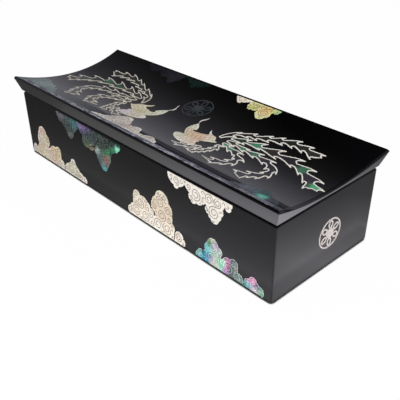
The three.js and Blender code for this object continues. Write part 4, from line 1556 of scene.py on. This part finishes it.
@dataclass
class Flower:
    """A ringed flower with looped petals round a hub.

    Attributes:
        hub: The radius of its hub as a share of its own.
        petal_line: The width of a petal's line at its root.
    """

    work: ShellWork
    face: Face
    centre: Point
    radius: float
    kind: Shell
    spots: Sequence[Spot]
    rim: float = 1.05
    hub: float = 0.34
    hub_steps: int = 24
    petal_line: float = 1.15
    petals: int = 6

    def build(self, name: str) -> Mesh:
        """Builds the flower on its face.

        Args:
            name: The mesh's name.

        Returns:
            The flower, in place.
        """
        work = self.work
        material = work.finishes.shell[self.kind]
        hub = self.radius * self.hub
        flat = grow(name, work.trees.rosette, bpy.data.meshes.new("seed"), {
            "Radius": self.radius, "Hub": hub, "Rim Width": self.rim, "Petal Line": self.petal_line,
            "Petals": self.petals, "Thickness": work.over - work.under, "Material": material})
        points, faces = arrays_of(flat)
        points += [*self.centre, (work.over + work.under) / 2]
        points[:, 2] = np.clip(points[:, 2], work.under, work.over)
        tints = tinted(points[:, :2], self.spots)
        ring = mesh_of(name, work.form.place(self.face, points), faces, material, tints, work.crease)
        x, y = self.centre
        disc = [(x + hub * math.cos(a), y + hub * math.sin(a))
                for a in np.linspace(0, math.tau, self.hub_steps, endpoint=False)]
        return joined(name, ring, work.plate(name + "_hub", self.face, disc, self.kind, self.spots))


BARB_STROKE = ((0.32, 0.3), (0.66, 0.7))  # where a barb's outer edge runs, as shares of its length and rise
BARB_HOOK = ((0.17, 0.62), (0.2, 0.3))  # the same for its inner edge, back from the tip


@dataclass(frozen=True)
class Plume:
    """A tail plume: an outline of pale shell with flame-shaped barbs, filled with dark shell.

    Attributes:
        spine: The points that its middle line runs through, from the root.
        widths: Its width between the barbs, at the root and at the end.
        first: The tips of the barbs on the left of the spine's way.
        second: The tips of those on the right.
        end: Its last tip, if it isn't the end of the spine.
        hook_pitch: The distance between points of a barb's inner edge.
        root: How narrow the root and each valley are, as a share of half the width.
        start: The same before the first barb.
        least: How far a barb's tip stands out of the edge, at least.
        back: How far back from its tip a valley lies, as a share of the barb's length.
    """

    spine: Sequence[Point]
    widths: Point
    first: Sequence[Point]
    second: Sequence[Point]
    fills: Sequence[Spot]
    end: Point | None = None
    pitch: float = 0.4
    hook_pitch: float = 0.35
    root: float = 0.5
    start: float = 0.7
    least: float = 0.7
    back: float = 0.02

    def outline(self) -> list[Point]:
        """Draws the plume, from the root along one edge and back along the other.

        Returns:
            The closed outline.
        """
        line = np.array(spline(self.spine, self.pitch))
        steps = np.hypot(*np.diff(line, axis=0).T)
        along = np.concatenate([[0], np.cumsum(steps)])
        total = along[-1]
        way = np.gradient(line, axis=0)
        way /= np.hypot(*way.T)[:, None]

        def at(s: float, e: float) -> Point:
            """Finds a point beside the spine.

            Args:
                s: Its place along the spine, which may be past its end.
                e: Its distance to the left of the spine.

            Returns:
                The point.
            """
            x, y, dx, dy = (np.interp(s, along, c) for c in (*line.T, *way.T))
            past = max(s - total, 0)
            return (float(x + dx * past - dy * e), float(y + dy * past + dx * e))

        def half(s: float) -> float:
            """Gives half the width between the barbs, at a place along the spine."""
            return float(np.interp(s, [0, total], self.widths)) / 2

        edges = []
        for side, tips in ((1, self.first), (-1, self.second)):
            marks = []
            for tip in tips:
                gaps = np.hypot(*(line - tip).T)
                near = int(np.argmin(gaps))
                past = float(np.dot(np.array(tip) - line[near], way[near])) if near == len(line) - 1 else 0
                s = along[near] + past
                marks.append((s, max(float(gaps[near]), half(s) + self.least)))
            path: list[Point] = [at(0, side * half(0) * self.root)]
            valley = (0.0, half(0) * self.start)
            for s, e in sorted(marks):
                length = s - valley[0]
                rise = e - valley[1]
                stroke = [at(valley[0] + a * length, side * (valley[1] + b * rise)) for a, b in BARB_STROKE]
                path += spline([at(valley[0], side * valley[1]), *stroke, at(s, side * e)], self.pitch)
                back = (s - self.back * length, half(s) * self.root)
                drop = e - back[1]
                hook = [at(s - a * length, side * (back[1] + b * drop)) for a, b in BARB_HOOK]
                path += spline([at(s, side * e), *hook, at(back[0], side * back[1])], self.hook_pitch)[1:]
                valley = back
            edges.append(path)
        tip = self.end or at(total, 0)
        return [*edges[0], tip, *edges[1][::-1]]


RIGHT_PLUMES = [
    Plume(
        spine=[
            (48.3, 1.5), (50, 8.5), (56.5, 15.5), (68.5, 19.5), (83.5, 25.5), (94.3, 28.2), (108.5, 28),
            (121.3, 25)],
        widths=(3.2, 7.6),
        first=[
            (56, 18), (66.5, 23.5), (78.5, 28), (87.5, 31.5), (100.5, 34.5), (112.5, 33), (124.5, 29.5)],
        second=[
            (57, 10), (65.5, 14.5), (72.5, 16), (81, 19.5), (91.5, 22.5), (99.5, 23.5), (108.5, 23),
            (118.5, 20)],
        fills=spot_list((80, 22, (40, 42, 38), 30), (112, 26, (56, 56, 48), 8))),
    Plume(
        spine=[
            (56.3, 6.2), (64.3, 8.2), (74.3, 9.4), (93.3, 9.6), (108.3, 9), (121.3, 5.5), (133.3, -1.5),
            (143.3, -10)],
        widths=(3.2, 9.2),
        first=[(69.5, 14), (82.5, 17), (99, 18), (117.5, 16), (132, 10), (144.5, 1), (150, -8)],
        second=[
            (70, 5), (83.5, 7.5), (100.5, 4.5), (116, 2.5), (126.5, -0.5), (134.5, -8.5), (139, -15)],
        fills=spot_list(
            (78.5, 10.5, (84, 152, 122), 3.6), (64, 10, (50, 70, 62), 5), (90, 11, (58, 54, 52), 5),
            (104, 11, (48, 42, 50), 7), (122, 7, (78, 134, 104), 3), (116, 11, (44, 46, 44), 4),
            (133, 1, (60, 54, 66), 4), (142.5, -8.5, (98, 190, 140), 3), (138, -12, (60, 76, 70), 3))),
    Plume(
        spine=[
            (56.8, 1.2), (66.3, 0.6), (78.3, -0.9), (95.3, -2.8), (106.8, -7), (111.3, -15.5),
            (108.8, -26), (101.8, -34.5)],
        widths=(3.0, 8.0),
        first=[
            (66, 4.5), (78.5, 1.5), (91, 3.5), (104.5, 0.5), (115.5, -13.5), (116, -22.5), (112, -30.5),
            (108, -34.5)],
        second=[
            (67, -3), (77.5, -4.5), (88.5, -6), (99.5, -8.5), (105, -13.5), (107.5, -19.5),
            (100.5, -25.5), (94.5, -32.5)],
        fills=spot_list(
            (74, 1.5, (88, 150, 120), 3.4), (84.5, -1, (84, 138, 112), 3.4), (79, 0, (54, 76, 66), 3),
            (63, 0, (46, 60, 56), 4), (97, -3, (60, 54, 66), 6), (108, -14, (54, 56, 64), 10),
            (104, -32, (64, 66, 74), 8)),
        end=(106.5, -39.5)),
    Plume(
        spine=[(57.3, -3.9), (68.3, -8), (78.8, -13), (84.3, -21), (81.3, -30), (72.3, -36.8)],
        widths=(2.6, 7.2),
        first=[(66, -3.5), (81, -7.5), (89.5, -16.5), (88.5, -28), (82, -33.5), (77, -39.3)],
        second=[(62, -9), (69.5, -12.5), (77, -13.5), (80.5, -18.5), (78, -24.5), (70, -29.8)],
        fills=spot_list(
            (66, -6, (92, 156, 128), 3.4), (76, -12, (48, 52, 52), 6), (80, -26, (60, 60, 68), 10)),
        end=(65, -33.6)),
    Plume(
        spine=[(57.1, -9), (59.8, -14.5), (59.3, -22), (56.8, -29.5), (53.8, -36)],
        widths=(2.0, 6.0),
        first=[(62.5, -8.5), (63.5, -17.5), (61.5, -23.5), (59.5, -27.5), (57.5, -31.5), (57.5, -36.5)],
        second=[(56.5, -13), (56, -19), (54.5, -24.5), (52, -30), (50, -35)],
        fills=spot_list((58, -20, (70, 74, 74), 10))),
    Plume(
        spine=[(51.8, -21.8), (48.6, -27.5), (43.3, -31.5), (37.3, -34)],
        widths=(2.4, 5.2),
        first=[(52, -29), (46.5, -34), (39.5, -37.5)],
        second=[(47.5, -23.5), (43, -27.5), (37.5, -29.5)],
        fills=spot_list((45, -30, (72, 72, 78), 10)),
        end=(32.5, -33.5)),
]
LEFT_FILLS = spot_list(
    (-104, 13, (84, 134, 108), 5), (-88, 8.5, (74, 118, 92), 4), (-138, -3, (84, 88, 84), 12),
    (-105, -25, (104, 104, 110), 12), (-78, -22, (98, 98, 98), 10), (-50, -28, (106, 104, 106), 10),
    (-95, 27, (54, 52, 50), 20), (-68, 4, (70, 70, 66), 14))

BIRD_BODY = [
    (19.8, 18.3), (19.3, 16.4), (18.7, 14.4), (17.5, 12.2), (17.6, 9.4), (19.7, 6.2), (18.8, 3),
    (18.3, -1), (19.4, -6), (22.1, -10.2), (26, -14), (30.5, -15.6), (37, -15.4), (41.6, -14.2),
    (45.4, -12.3), (49.4, -9.6), (53, -6.9), (50.4, -6.1), (48.8, -4), (46.6, -1.1), (43.6, -0.5),
    (40.6, 0.6), (38.2, 2.4), (36, 4.9), (37, 1.6), (39.4, -1.4), (36.6, -3.7), (32, -4.9), (28, -5.7),
    (25.2, -4.7), (25, -3.4), (26.7, -2.6), (25.9, 0), (24.3, 2.4), (22.2, 4.4), (20.7, 5.7),
    (19.3, 7.6), (18.4, 10), (18.6, 12), (19.5, 14.2), (20, 16.4)]
BIRD_WING = [
    (20.1, -18.6), (20.6, -16.8), (23, -15.2), (26, -14.6), (30.5, -16), (37, -15.8), (42, -14.6),
    (43.6, -15.6), (43.4, -18.4), (45.2, -21), (47, -23.2), (45.6, -24.8), (41.4, -26.4), (36.4, -27),
    (30.6, -26.3), (25.4, -24.2), (21.8, -21.4)]
BIRD_TINTS = {
    "right": (
        spot_list(
            (22, 0, (214, 216, 192), 4), (19, 12, (218, 220, 214), 6), (21.5, -8, (202, 192, 166), 4),
            (33, -10, (208, 178, 138), 4), (27, -9, (206, 184, 156), 4), (40, -6, (222, 190, 172), 4),
            (38, -12, (204, 170, 138), 4), (47, -7, (220, 214, 194), 4), (37, 2, (226, 228, 220), 3)),
        spot_list(
            (25, -22, (220, 222, 212), 4), (28, -19, (204, 206, 180), 4), (37, -20, (222, 202, 186), 5),
            (34, -26, (236, 234, 230), 3)),
    ),
    "left": (
        spot_list(
            (22, 0, (208, 212, 196), 5), (19, 12, (206, 206, 204), 6), (38, -3, (216, 208, 178), 5),
            (35, -10, (186, 180, 140), 4), (26, -9, (200, 202, 178), 5), (48, -7, (206, 196, 172), 4)),
        spot_list(
            (40, -20, (208, 202, 210), 5), (30, -20, (200, 196, 172), 4), (24, -21, (220, 214, 206), 4),
            (20, -17, (232, 230, 228), 3)),
    ),
}
WIRE_TINTS = {
    "right": spot_list((100, 0, (240, 237, 232), 60), (50, -20, (224, 220, 214), 20)),
    "left": spot_list((-60, 10, (206, 202, 190), 40), (-100, 20, (190, 190, 180), 30)),
}


# For the body and the wing: how their feathers are packed, and their aim, towards the tail
FEATHERS = {
    "body": (Packing(margin=0.5, largest=1.6, least=0.9, gap=0.1), -1.4),
    "wing": (Packing(margin=0.5, largest=2.2, least=0.9, gap=0.1), -1.9),
}


@dataclass
class Phoenix:
    """One of the two birds on the lid: body, wing and six tail plumes, drawn as the right-hand bird.

    Attributes:
        side: Which bird it is, "left" or "right".
        middle: The place along the lid that the birds mirror across.
        wire: The width of the pale strip round a plume.
        drawn: The point that the plumes are fitted about.
        spread: How much longer and wider the plumes are made, to fit the lid.
        feather_turns: How much of a turn an engraved feather is.
        fill_sink: How much lower than the strip the filling lies.
    """

    work: ShellWork
    side: str
    middle: float = 1.9
    wire: float = 0.82
    drawn: Point = (50.0, 0.0)
    spread: Point = (0.984, 0.965)
    pitch: float = 0.8
    feather_turns: float = 0.5
    feather_line: float = 0.38
    fill_cell: float = 3.0
    fill_sink: float = 0.1

    def set(self, points: Sequence[Point]) -> list[Point]:
        """Places points drawn for the right-hand bird, mirrored for the left-hand one."""
        return [(x, y) if self.side == "right" else (2 * self.middle - x, y) for x, y in points]

    def spread_out(self, points: Sequence[Point]) -> list[Point]:
        """Fits a drawn plume to the lid."""
        (ox, oy), (sx, sy) = self.drawn, self.spread
        return [(ox + (x - ox) * sx, oy + (y - oy) * sy) for x, y in points]

    def coloured(self, spots: Sequence[Spot]) -> list[Spot]:
        """Places patches of colour as the points are placed."""
        return [Spot(self.set([spot.at])[0], spot.colour, spot.reach) for spot in spots]

    def build(self) -> None:
        """Builds the bird and sets it on the lid."""
        for part, drawn, spots in zip(("body", "wing"), (BIRD_BODY, BIRD_WING), BIRD_TINTS[self.side]):
            node = f"{self.side}_phoenix_{part}"
            outline = self.set(spline(drawn, self.pitch, True))
            plate = self.work.plate(node, Face.LID, outline, Shell.PALE, self.coloured(spots))
            packing, aim = FEATHERS[part]
            aim = aim if self.side == "right" else math.pi - aim
            feathers = [(x, y, radius, aim) for x, y, radius, _ in packing.fill(outline)]
            lines = self.work.engraving(node + "_feathers", Face.LID, feathers, Shell.PALE,
                                        self.feather_turns, self.feather_line)
            settle("inlaid_" + node, joined(node, plate, lines), "lid", "pale_shell", node)
        for index, plume in enumerate(RIGHT_PLUMES, 1):
            node = f"{self.side}_phoenix_plume_{index}"
            outline = self.set(self.spread_out(plume.outline()))
            fills = self.coloured(plume.fills) if self.side == "right" else LEFT_FILLS
            fill = self.work.plate(node + "_fill", Face.LID, outline, Shell.DEEP, fills, self.fill_cell,
                                   self.fill_sink)
            wire = self.work.strip(node + "_wire", Face.LID, outline, self.wire, Shell.PALE,
                                   WIRE_TINTS[self.side], True)
            settle("inlaid_" + node, joined(node, fill, wire), "lid", "plume_shell", node)


@dataclass
class Lid:
    """The lift-off lid: the dished board, the panel that locates it, and the shell on its top.

    Attributes:
        stations: The number of points across the hollow.
        ease_angle: The least angle in degrees of an edge that is eased.
        sides: Between which heights of its normal a face belongs to the leaning sides, which take the copy of
            the lacquer with the brightest painted reflection.
        back_margin: The distance from the back crest to the clouds along it.
        front_margin: The same at the front.
        edging_reach: How far the edging strip runs from the middle, each way.
        edging_gaps: Its gaps to the front crest and to the clouds.
        edging_sink: How much lower than the other shell it lies.
    """

    form: BoxForm
    work: ShellWork
    finishes: Materials
    stations: int = 64
    ease: float = 0.35
    ease_angle: float = 25.0
    sides: Point = (-0.9, -0.1)
    panel: float = 5.0
    panel_gap: float = 1.0
    panel_ease: float = 0.5
    back_margin: float = 1.9
    front_margin: float = 5.7
    flower_at: Point = (0.0, 23.5)
    flower_radius: float = 13.2
    edging_reach: float = 147.0
    edging_gaps: Point = (0.4, 0.6)
    edging_sink: float = 0.08

    @staticmethod
    def board_tree() -> Graph:
        """Builds the tree that shapes the lid board from its sizes.

        Returns:
            The tree.
        """
        g = Graph(bpy.data.node_groups.new("dished_board", "GeometryNodeTree"))
        names = ("Length", "Width", "Base Height", "Edge Height", "Overhang", "Lean", "Bevel", "Dish")
        entry = g.open({**{n: "NodeSocketFloat" for n in names}, "Stations": "NodeSocketInt",
                        "Material": "NodeSocketMaterial"})
        length, width, base, edge, overhang, lean, bevel, dish = (entry.outputs[n] for n in names)
        m = g.maths
        cube = g.add("GeometryNodeMeshCube", {
            "Size": (2.0, 2.0, 2.0), "Vertices X": 2, "Vertices Y": entry.outputs["Stations"],
            "Vertices Z": 3}).outputs[0]
        a, b, c = g.add("ShaderNodeSeparateXYZ", {0: g.add("GeometryNodeInputPosition").outputs[0]}).outputs
        half_x = m("ADD", m("MULTIPLY", length, 0.5), overhang)
        half_y = m("ADD", m("MULTIPLY", width, 0.5), overhang)
        crest_y = m("SUBTRACT", m("ADD", half_y, lean), bevel)
        radius = m("DIVIDE", m("ADD", m("MULTIPLY", crest_y, crest_y), m("MULTIPLY", dish, dish)),
                   m("MULTIPLY", dish, 2.0))
        y = m("MULTIPLY", b, crest_y)
        chord = m("SQRT", m("SUBTRACT", m("MULTIPLY", radius, radius), m("MULTIPLY", y, y)))
        fall = m("SUBTRACT", m("SUBTRACT", radius, chord), dish)
        rise = m("ADD", m("ADD", base, edge), fall)
        side_x = m("ADD", m("ADD", half_x, lean), m("DIVIDE", m("MULTIPLY", lean, fall),
                                                    m("SUBTRACT", edge, bevel)))
        top = m("GREATER_THAN", c, 0.5)
        foot = m("LESS_THAN", c, -0.5)
        shoulder = m("SUBTRACT", m("SUBTRACT", 1.0, top), foot)

        def choose(low: object, middle: object, high: object) -> Socket:
            """Picks the value for the level of a point: the foot, the shoulder or the top."""
            return m("ADD", m("ADD", m("MULTIPLY", foot, low), m("MULTIPLY", shoulder, middle)),
                     m("MULTIPLY", top, high))

        x_out = m("MULTIPLY", a, choose(half_x, side_x, m("SUBTRACT", side_x, bevel)))
        y_out = m("MULTIPLY", b, choose(half_y, m("ADD", crest_y, bevel), crest_y))
        z_out = choose(base, m("SUBTRACT", rise, bevel), rise)
        place = g.add("ShaderNodeCombineXYZ", {0: x_out, 1: y_out, 2: z_out}).outputs[0]
        shaped = g.add("GeometryNodeSetPosition", {"Geometry": cube, "Position": place}).outputs[0]
        g.close(shaped, entry.outputs["Material"])
        return g

    def build_board(self) -> None:
        """Shapes the lid board and the panel under it."""
        f = self.form

        def soften(carrier: bpy.types.Object) -> None:
            """Eases the edges of the board.

            Args:
                carrier: The object that holds it.
            """
            bevel = carrier.modifiers.new("ease", "BEVEL")
            bevel.width, bevel.segments, bevel.limit_method = self.ease * MM, 2, "ANGLE"
            bevel.angle_limit = math.radians(self.ease_angle)

        sizes = {"Length": f.length, "Width": f.width, "Base Height": f.height, "Edge Height": f.edge_height,
                 "Overhang": f.overhang, "Lean": f.lean, "Bevel": f.lid_bevel, "Dish": f.dish}
        values = {**{name: size * MM for name, size in sizes.items()}, "Stations": self.stations,
                  "Material": self.finishes.rim}
        board = grow("lid_board", self.board_tree(), bpy.data.meshes.new("seed"), values, soften)
        board = polished("lid", board, self.finishes.rim)
        board.materials.append(self.finishes.side)
        # The leaning sides take the copy of the lacquer with the highest index: painted reflection, brighter
        # than on the top
        low, high = self.sides
        for polygon in board.polygons:
            polygon.material_index = int(low < polygon.normal.z < high)
        settle("dressed_lid_board", board, "lid", "gloss_lacquer", "lid_board")
        x, y = (size / 2 - f.wall - self.panel_gap for size in (f.length, f.width))
        panel = block((-x, -y, f.height - self.panel), (x, y, f.height), self.panel_ease)
        settle("dressed_inner_panel", polished("panel", panel, self.finishes.satin), "lid", "satin_lacquer",
               "lid_inner_panel")

    def build_shell(self) -> None:
        """Sets the clouds, the flower, the edging strip and the birds in the hollow."""
        crest = self.form.crest_y
        front = self.front_margin - crest
        self.work.inlay(LID_BACK, "", Face.LID, crest - self.back_margin, "lid")
        self.work.inlay(LID_FRONT, "", Face.LID, front, "lid")
        flower = Flower(self.work, Face.LID, self.flower_at, self.flower_radius, Shell.DARK,
                        spot_list((-6, 22, (54, 53, 60), 8), (8, 24, (50, 56, 57), 6)))
        settle("inlaid_lid_flower", flower.build("lid_flower"), "lid", flower.kind.slot, "lid_flower")
        reach, (outer, inner) = self.edging_reach, self.edging_gaps
        strip = [(-reach, -crest + outer), (reach, -crest + outer), (reach, front - inner),
                 (-reach, front - inner)]
        marbling = spot_list(
            (-140, front, (84, 96, 104), 30), (-70, front, (78, 80, 90), 40),
            (60, front, (118, 116, 134), 60), (135, -53, (120, 190, 180), 2))
        edging = self.work.plate("lid_front_edging", Face.LID, strip, Shell.MARBLED, marbling,
                                 sink=self.edging_sink)
        settle("lid_front_edging", edging, "lid", "dark_shell")
        for side in ("right", "left"):
            Phoenix(self.work, side).build()


# Studio

# Painted reflection: the glow that glossy rays see on the floor instead of its lit paper, from its near left
# to its far right
PAINTED_FLOOR_REFLECTION = [
    (0.0, grey(0.09)), (0.2, grey(0.12)), (0.36, grey(0.2)), (0.5, (0.36, 0.35, 0.38)),
    (0.62, (0.6, 0.58, 0.63)), (0.69, (0.72, 0.7, 0.75)), (0.74, (0.52, 0.505, 0.545)),
    (0.79, (0.38, 0.37, 0.4)), (0.84, (0.27, 0.265, 0.28)), (1.0, grey(0.2)),
]
# How that painted reflection changes away from the box, with painted shade close to its foot
PAINTED_REFLECTION_FADE = [
    (0.0, grey(0.3)), (0.006, grey(0.66)), (0.015, grey(0.84)), (0.05, grey(0.86)), (0.075, grey(1.08)),
    (0.11, grey(0.95)), (0.28, grey(0.76)), (1.0, grey(0.66)),
]
# The shadow at the foot of the box, by how open the sky is there
CONTACT = [(0.42, grey(0.005)), (0.56, grey(0.16)), (0.66, grey(1.0))]
# The room by height: its upper part, its lower part, and its lower part where dark bars cross it
ROOM_UPPER = [
    (0.174, (0.24, 0.235, 0.265)), (0.225, (0.21, 0.205, 0.23)), (0.33, (0.155, 0.15, 0.17)),
    (0.41, (0.09, 0.086, 0.1)), (0.5, (0.055, 0.055, 0.062)), (0.59, grey(0.024)), (0.656, grey(0.012)),
    (0.72, grey(0.002)),
]
ROOM_PLAIN = [(0.0, (0.14, 0.15, 0.16)), (0.06, (0.24, 0.25, 0.26)), (0.12, (0.26, 0.26, 0.28))]
ROOM_BARRED = [
    (0.0, (0.11, 0.11, 0.13)), (0.02, (0.17, 0.17, 0.2)), (0.044, (0.23, 0.23, 0.27)),
    (0.05, (0.025, 0.025, 0.035)), (0.074, (0.025, 0.025, 0.035)), (0.081, (0.1, 0.1, 0.125)),
    (0.09, (0.1, 0.1, 0.125)), (0.097, (0.035, 0.035, 0.045)), (0.11, (0.04, 0.04, 0.05)),
    (0.122, (0.27, 0.27, 0.3)),
]


@dataclass(frozen=True)
class Lamp:
    """A square lamp aimed at the box, in metres and watts."""

    name: str
    place: Place
    size: float
    power: float


LAMPS = (Lamp("key", (0.75, -0.55, 0.95), 0.7, 9.0), Lamp("fill", (-0.4, -1.0, 0.4), 0.8, 3.9))


@dataclass
class Studio:
    """A pale floor, soft lamps and the camera, in metres.

    Attributes:
        back: The way from the box to the camera.
        roll: The camera's roll in degrees.
        lens: Its focal length, in millimetres like its sensor.
        half: Half the box's length and width, from where the floor's fade starts.
        floor_drop: How far the floor lies under the box's foot, so that the two never mix.
        glow_reach: How far from the middle the floor's painted reflection changes.
        fade_reach: How far from the box the fade of that painted reflection runs.
        paper: How light the floor's paper is.
        whiteness: How much of the floor's white comes from itself, to the camera.
        bars: Between which places across the room the dark bars end.
    """

    place: Place = (0.32706638, -0.27594593, 0.25225729)
    back: Place = (0.62642469, -0.57654789, 0.52458044)
    roll: float = -0.5252
    lens: float = 52.724
    sensor: float = 36.0
    near: float = 0.01
    half: Point = (0.15, 0.0525)
    floor_reach: float = 3.0
    floor_drop: float = 1e-4
    glow_reach: float = 0.3
    fade_reach: float = 0.2
    paper: float = 0.9
    contact_reach: float = 0.0025
    whiteness: float = 0.97
    bars: Point = (-0.83, -0.76)
    aim: Place = (0, 0, 0.03)

    def build_camera(self) -> None:
        """Sets the camera."""
        back = Vector(self.back).normalized()
        right = (-back).cross(Vector((0, 0, 1))).normalized()
        up = right.cross(-back)
        turn = math.radians(self.roll)
        across = right * math.cos(turn) + up * math.sin(turn)
        upward = up * math.cos(turn) - right * math.sin(turn)
        data = bpy.data.cameras.new("camera")
        data.lens, data.sensor_width, data.clip_start = self.lens, self.sensor, self.near
        camera = bpy.data.objects.new("camera", data)
        facing = Matrix((across, upward, back)).transposed().to_4x4()
        camera.matrix_world = Matrix.Translation(self.place) @ facing
        bpy.context.scene.collection.objects.link(camera)
        bpy.context.scene.camera = camera

    def build_floor(self) -> None:
        """Lays the floor: white to the camera except for a faint painted shadow, with a painted reflection
        for glossy rays.
        """
        mesh = bpy.data.meshes.new("floor")
        r, z = self.floor_reach, -self.floor_drop
        mesh.from_pydata([(-r, -r, z), (r, -r, z), (r, r, z), (-r, r, z)], [], [[0, 1, 2, 3]])
        material = bpy.data.materials.new("floor_paper")
        material.use_nodes = True
        g = Graph(material.node_tree)
        g.tree.nodes.clear()
        m = g.maths
        path = g.add("ShaderNodeLightPath").outputs
        x, y, _ = g.add("ShaderNodeSeparateXYZ", {0: g.add("ShaderNodeTexCoord").outputs["Object"]}).outputs
        aside = m("MAXIMUM", m("SUBTRACT", m("ABSOLUTE", x), self.half[0]),
                  m("SUBTRACT", m("ABSOLUTE", y), self.half[1]))
        toward = m("MULTIPLY", m("ADD", x, y), 0.7)
        glow = g.ramp(g.stretch(toward, -self.glow_reach, self.glow_reach), PAINTED_FLOOR_REFLECTION)
        fade = g.ramp(g.stretch(aside, 0.0, self.fade_reach), PAINTED_REFLECTION_FADE)
        # Painted reflection: glossy rays see an emission, brighter towards the far right and darker close to
        # the box's foot, in place of the lit paper
        sheen = g.add("ShaderNodeEmission", {"Color": g.mix("MULTIPLY", 1.0, glow, fade)}).outputs[0]
        lit = g.add("ShaderNodeBsdfDiffuse", {"Color": (*grey(self.paper), 1)}).outputs[0]
        lit = g.add("ShaderNodeMixShader", {0: path["Is Glossy Ray"], 1: lit, 2: sheen}).outputs[0]
        open_sky = g.add("ShaderNodeAmbientOcclusion", {"Distance": self.contact_reach}, samples=8)
        shade = g.ramp(open_sky.outputs["AO"], CONTACT)
        white = g.add("ShaderNodeEmission", {"Color": shade, "Strength": 1.0}).outputs[0]
        seen = m("MULTIPLY", path["Is Camera Ray"], self.whiteness)
        both = g.add("ShaderNodeMixShader", {0: seen, 1: lit, 2: white}).outputs[0]
        g.add("ShaderNodeOutputMaterial", {0: both})
        mesh.materials.append(material)
        floor = bpy.data.objects.new("floor", mesh)
        bpy.context.scene.collection.objects.link(floor)

    def build_light(self) -> None:
        """Paints the room that the lacquer mirrors and hangs the lamps."""
        world = bpy.data.worlds.new("room")
        bpy.context.scene.world = world
        world.use_nodes = True
        g = Graph(world.node_tree)
        g.tree.nodes.clear()
        path = g.add("ShaderNodeLightPath").outputs
        way = g.add("ShaderNodeTexCoord").outputs["Generated"]
        across, _, height = g.add("ShaderNodeSeparateXYZ", {0: way}).outputs
        plain = g.ramp(height, [*ROOM_PLAIN, *ROOM_UPPER])
        barred = g.ramp(height, [*ROOM_BARRED, *ROOM_UPPER])
        mirrored = g.mix("MIX", g.stretch(across, *self.bars), plain, barred)
        even = g.mix("MIX", path["Is Glossy Ray"], grey(0.5), mirrored)
        seen = g.mix("MIX", path["Is Camera Ray"], even, grey(1.0))
        sky = g.add("ShaderNodeBackground", {"Color": seen, "Strength": 1.0}).outputs[0]
        g.add("ShaderNodeOutputWorld", {0: sky})
        for lamp in LAMPS:
            self.hang(lamp)

    def hang(self, lamp: Lamp) -> None:
        """Hangs a lamp, which the gloss doesn't mirror.

        Args:
            lamp: The lamp.
        """
        data = bpy.data.lights.new(lamp.name, "AREA")
        data.shape, data.size, data.energy = "SQUARE", lamp.size, lamp.power
        hung = bpy.data.objects.new(lamp.name, data)
        aim = (Vector(self.aim) - Vector(lamp.place)).to_track_quat("-Z", "Y")
        hung.matrix_world = Matrix.Translation(lamp.place) @ aim.to_matrix().to_4x4()
        hung.visible_glossy = False
        bpy.context.scene.collection.objects.link(hung)


def main() -> None:
    """Builds the box in order."""
    logging.basicConfig(level=logging.INFO, format="%(name)s %(message)s", force=True)
    bpy.context.scene.view_settings.view_transform = "Standard"
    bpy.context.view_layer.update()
    studio = Studio()
    studio.build_camera()
    studio.build_floor()
    studio.build_light()
    form = BoxForm()
    finishes = Materials()
    work = ShellWork(form, ShellTrees(), finishes)
    body = Body(form, work, finishes)
    body.build_boards()
    body.build_felt()
    body.build_shell()
    lid = Lid(form, work, finishes)
    lid.build_board()
    lid.build_shell()


if __name__ == "__main__":
    main()
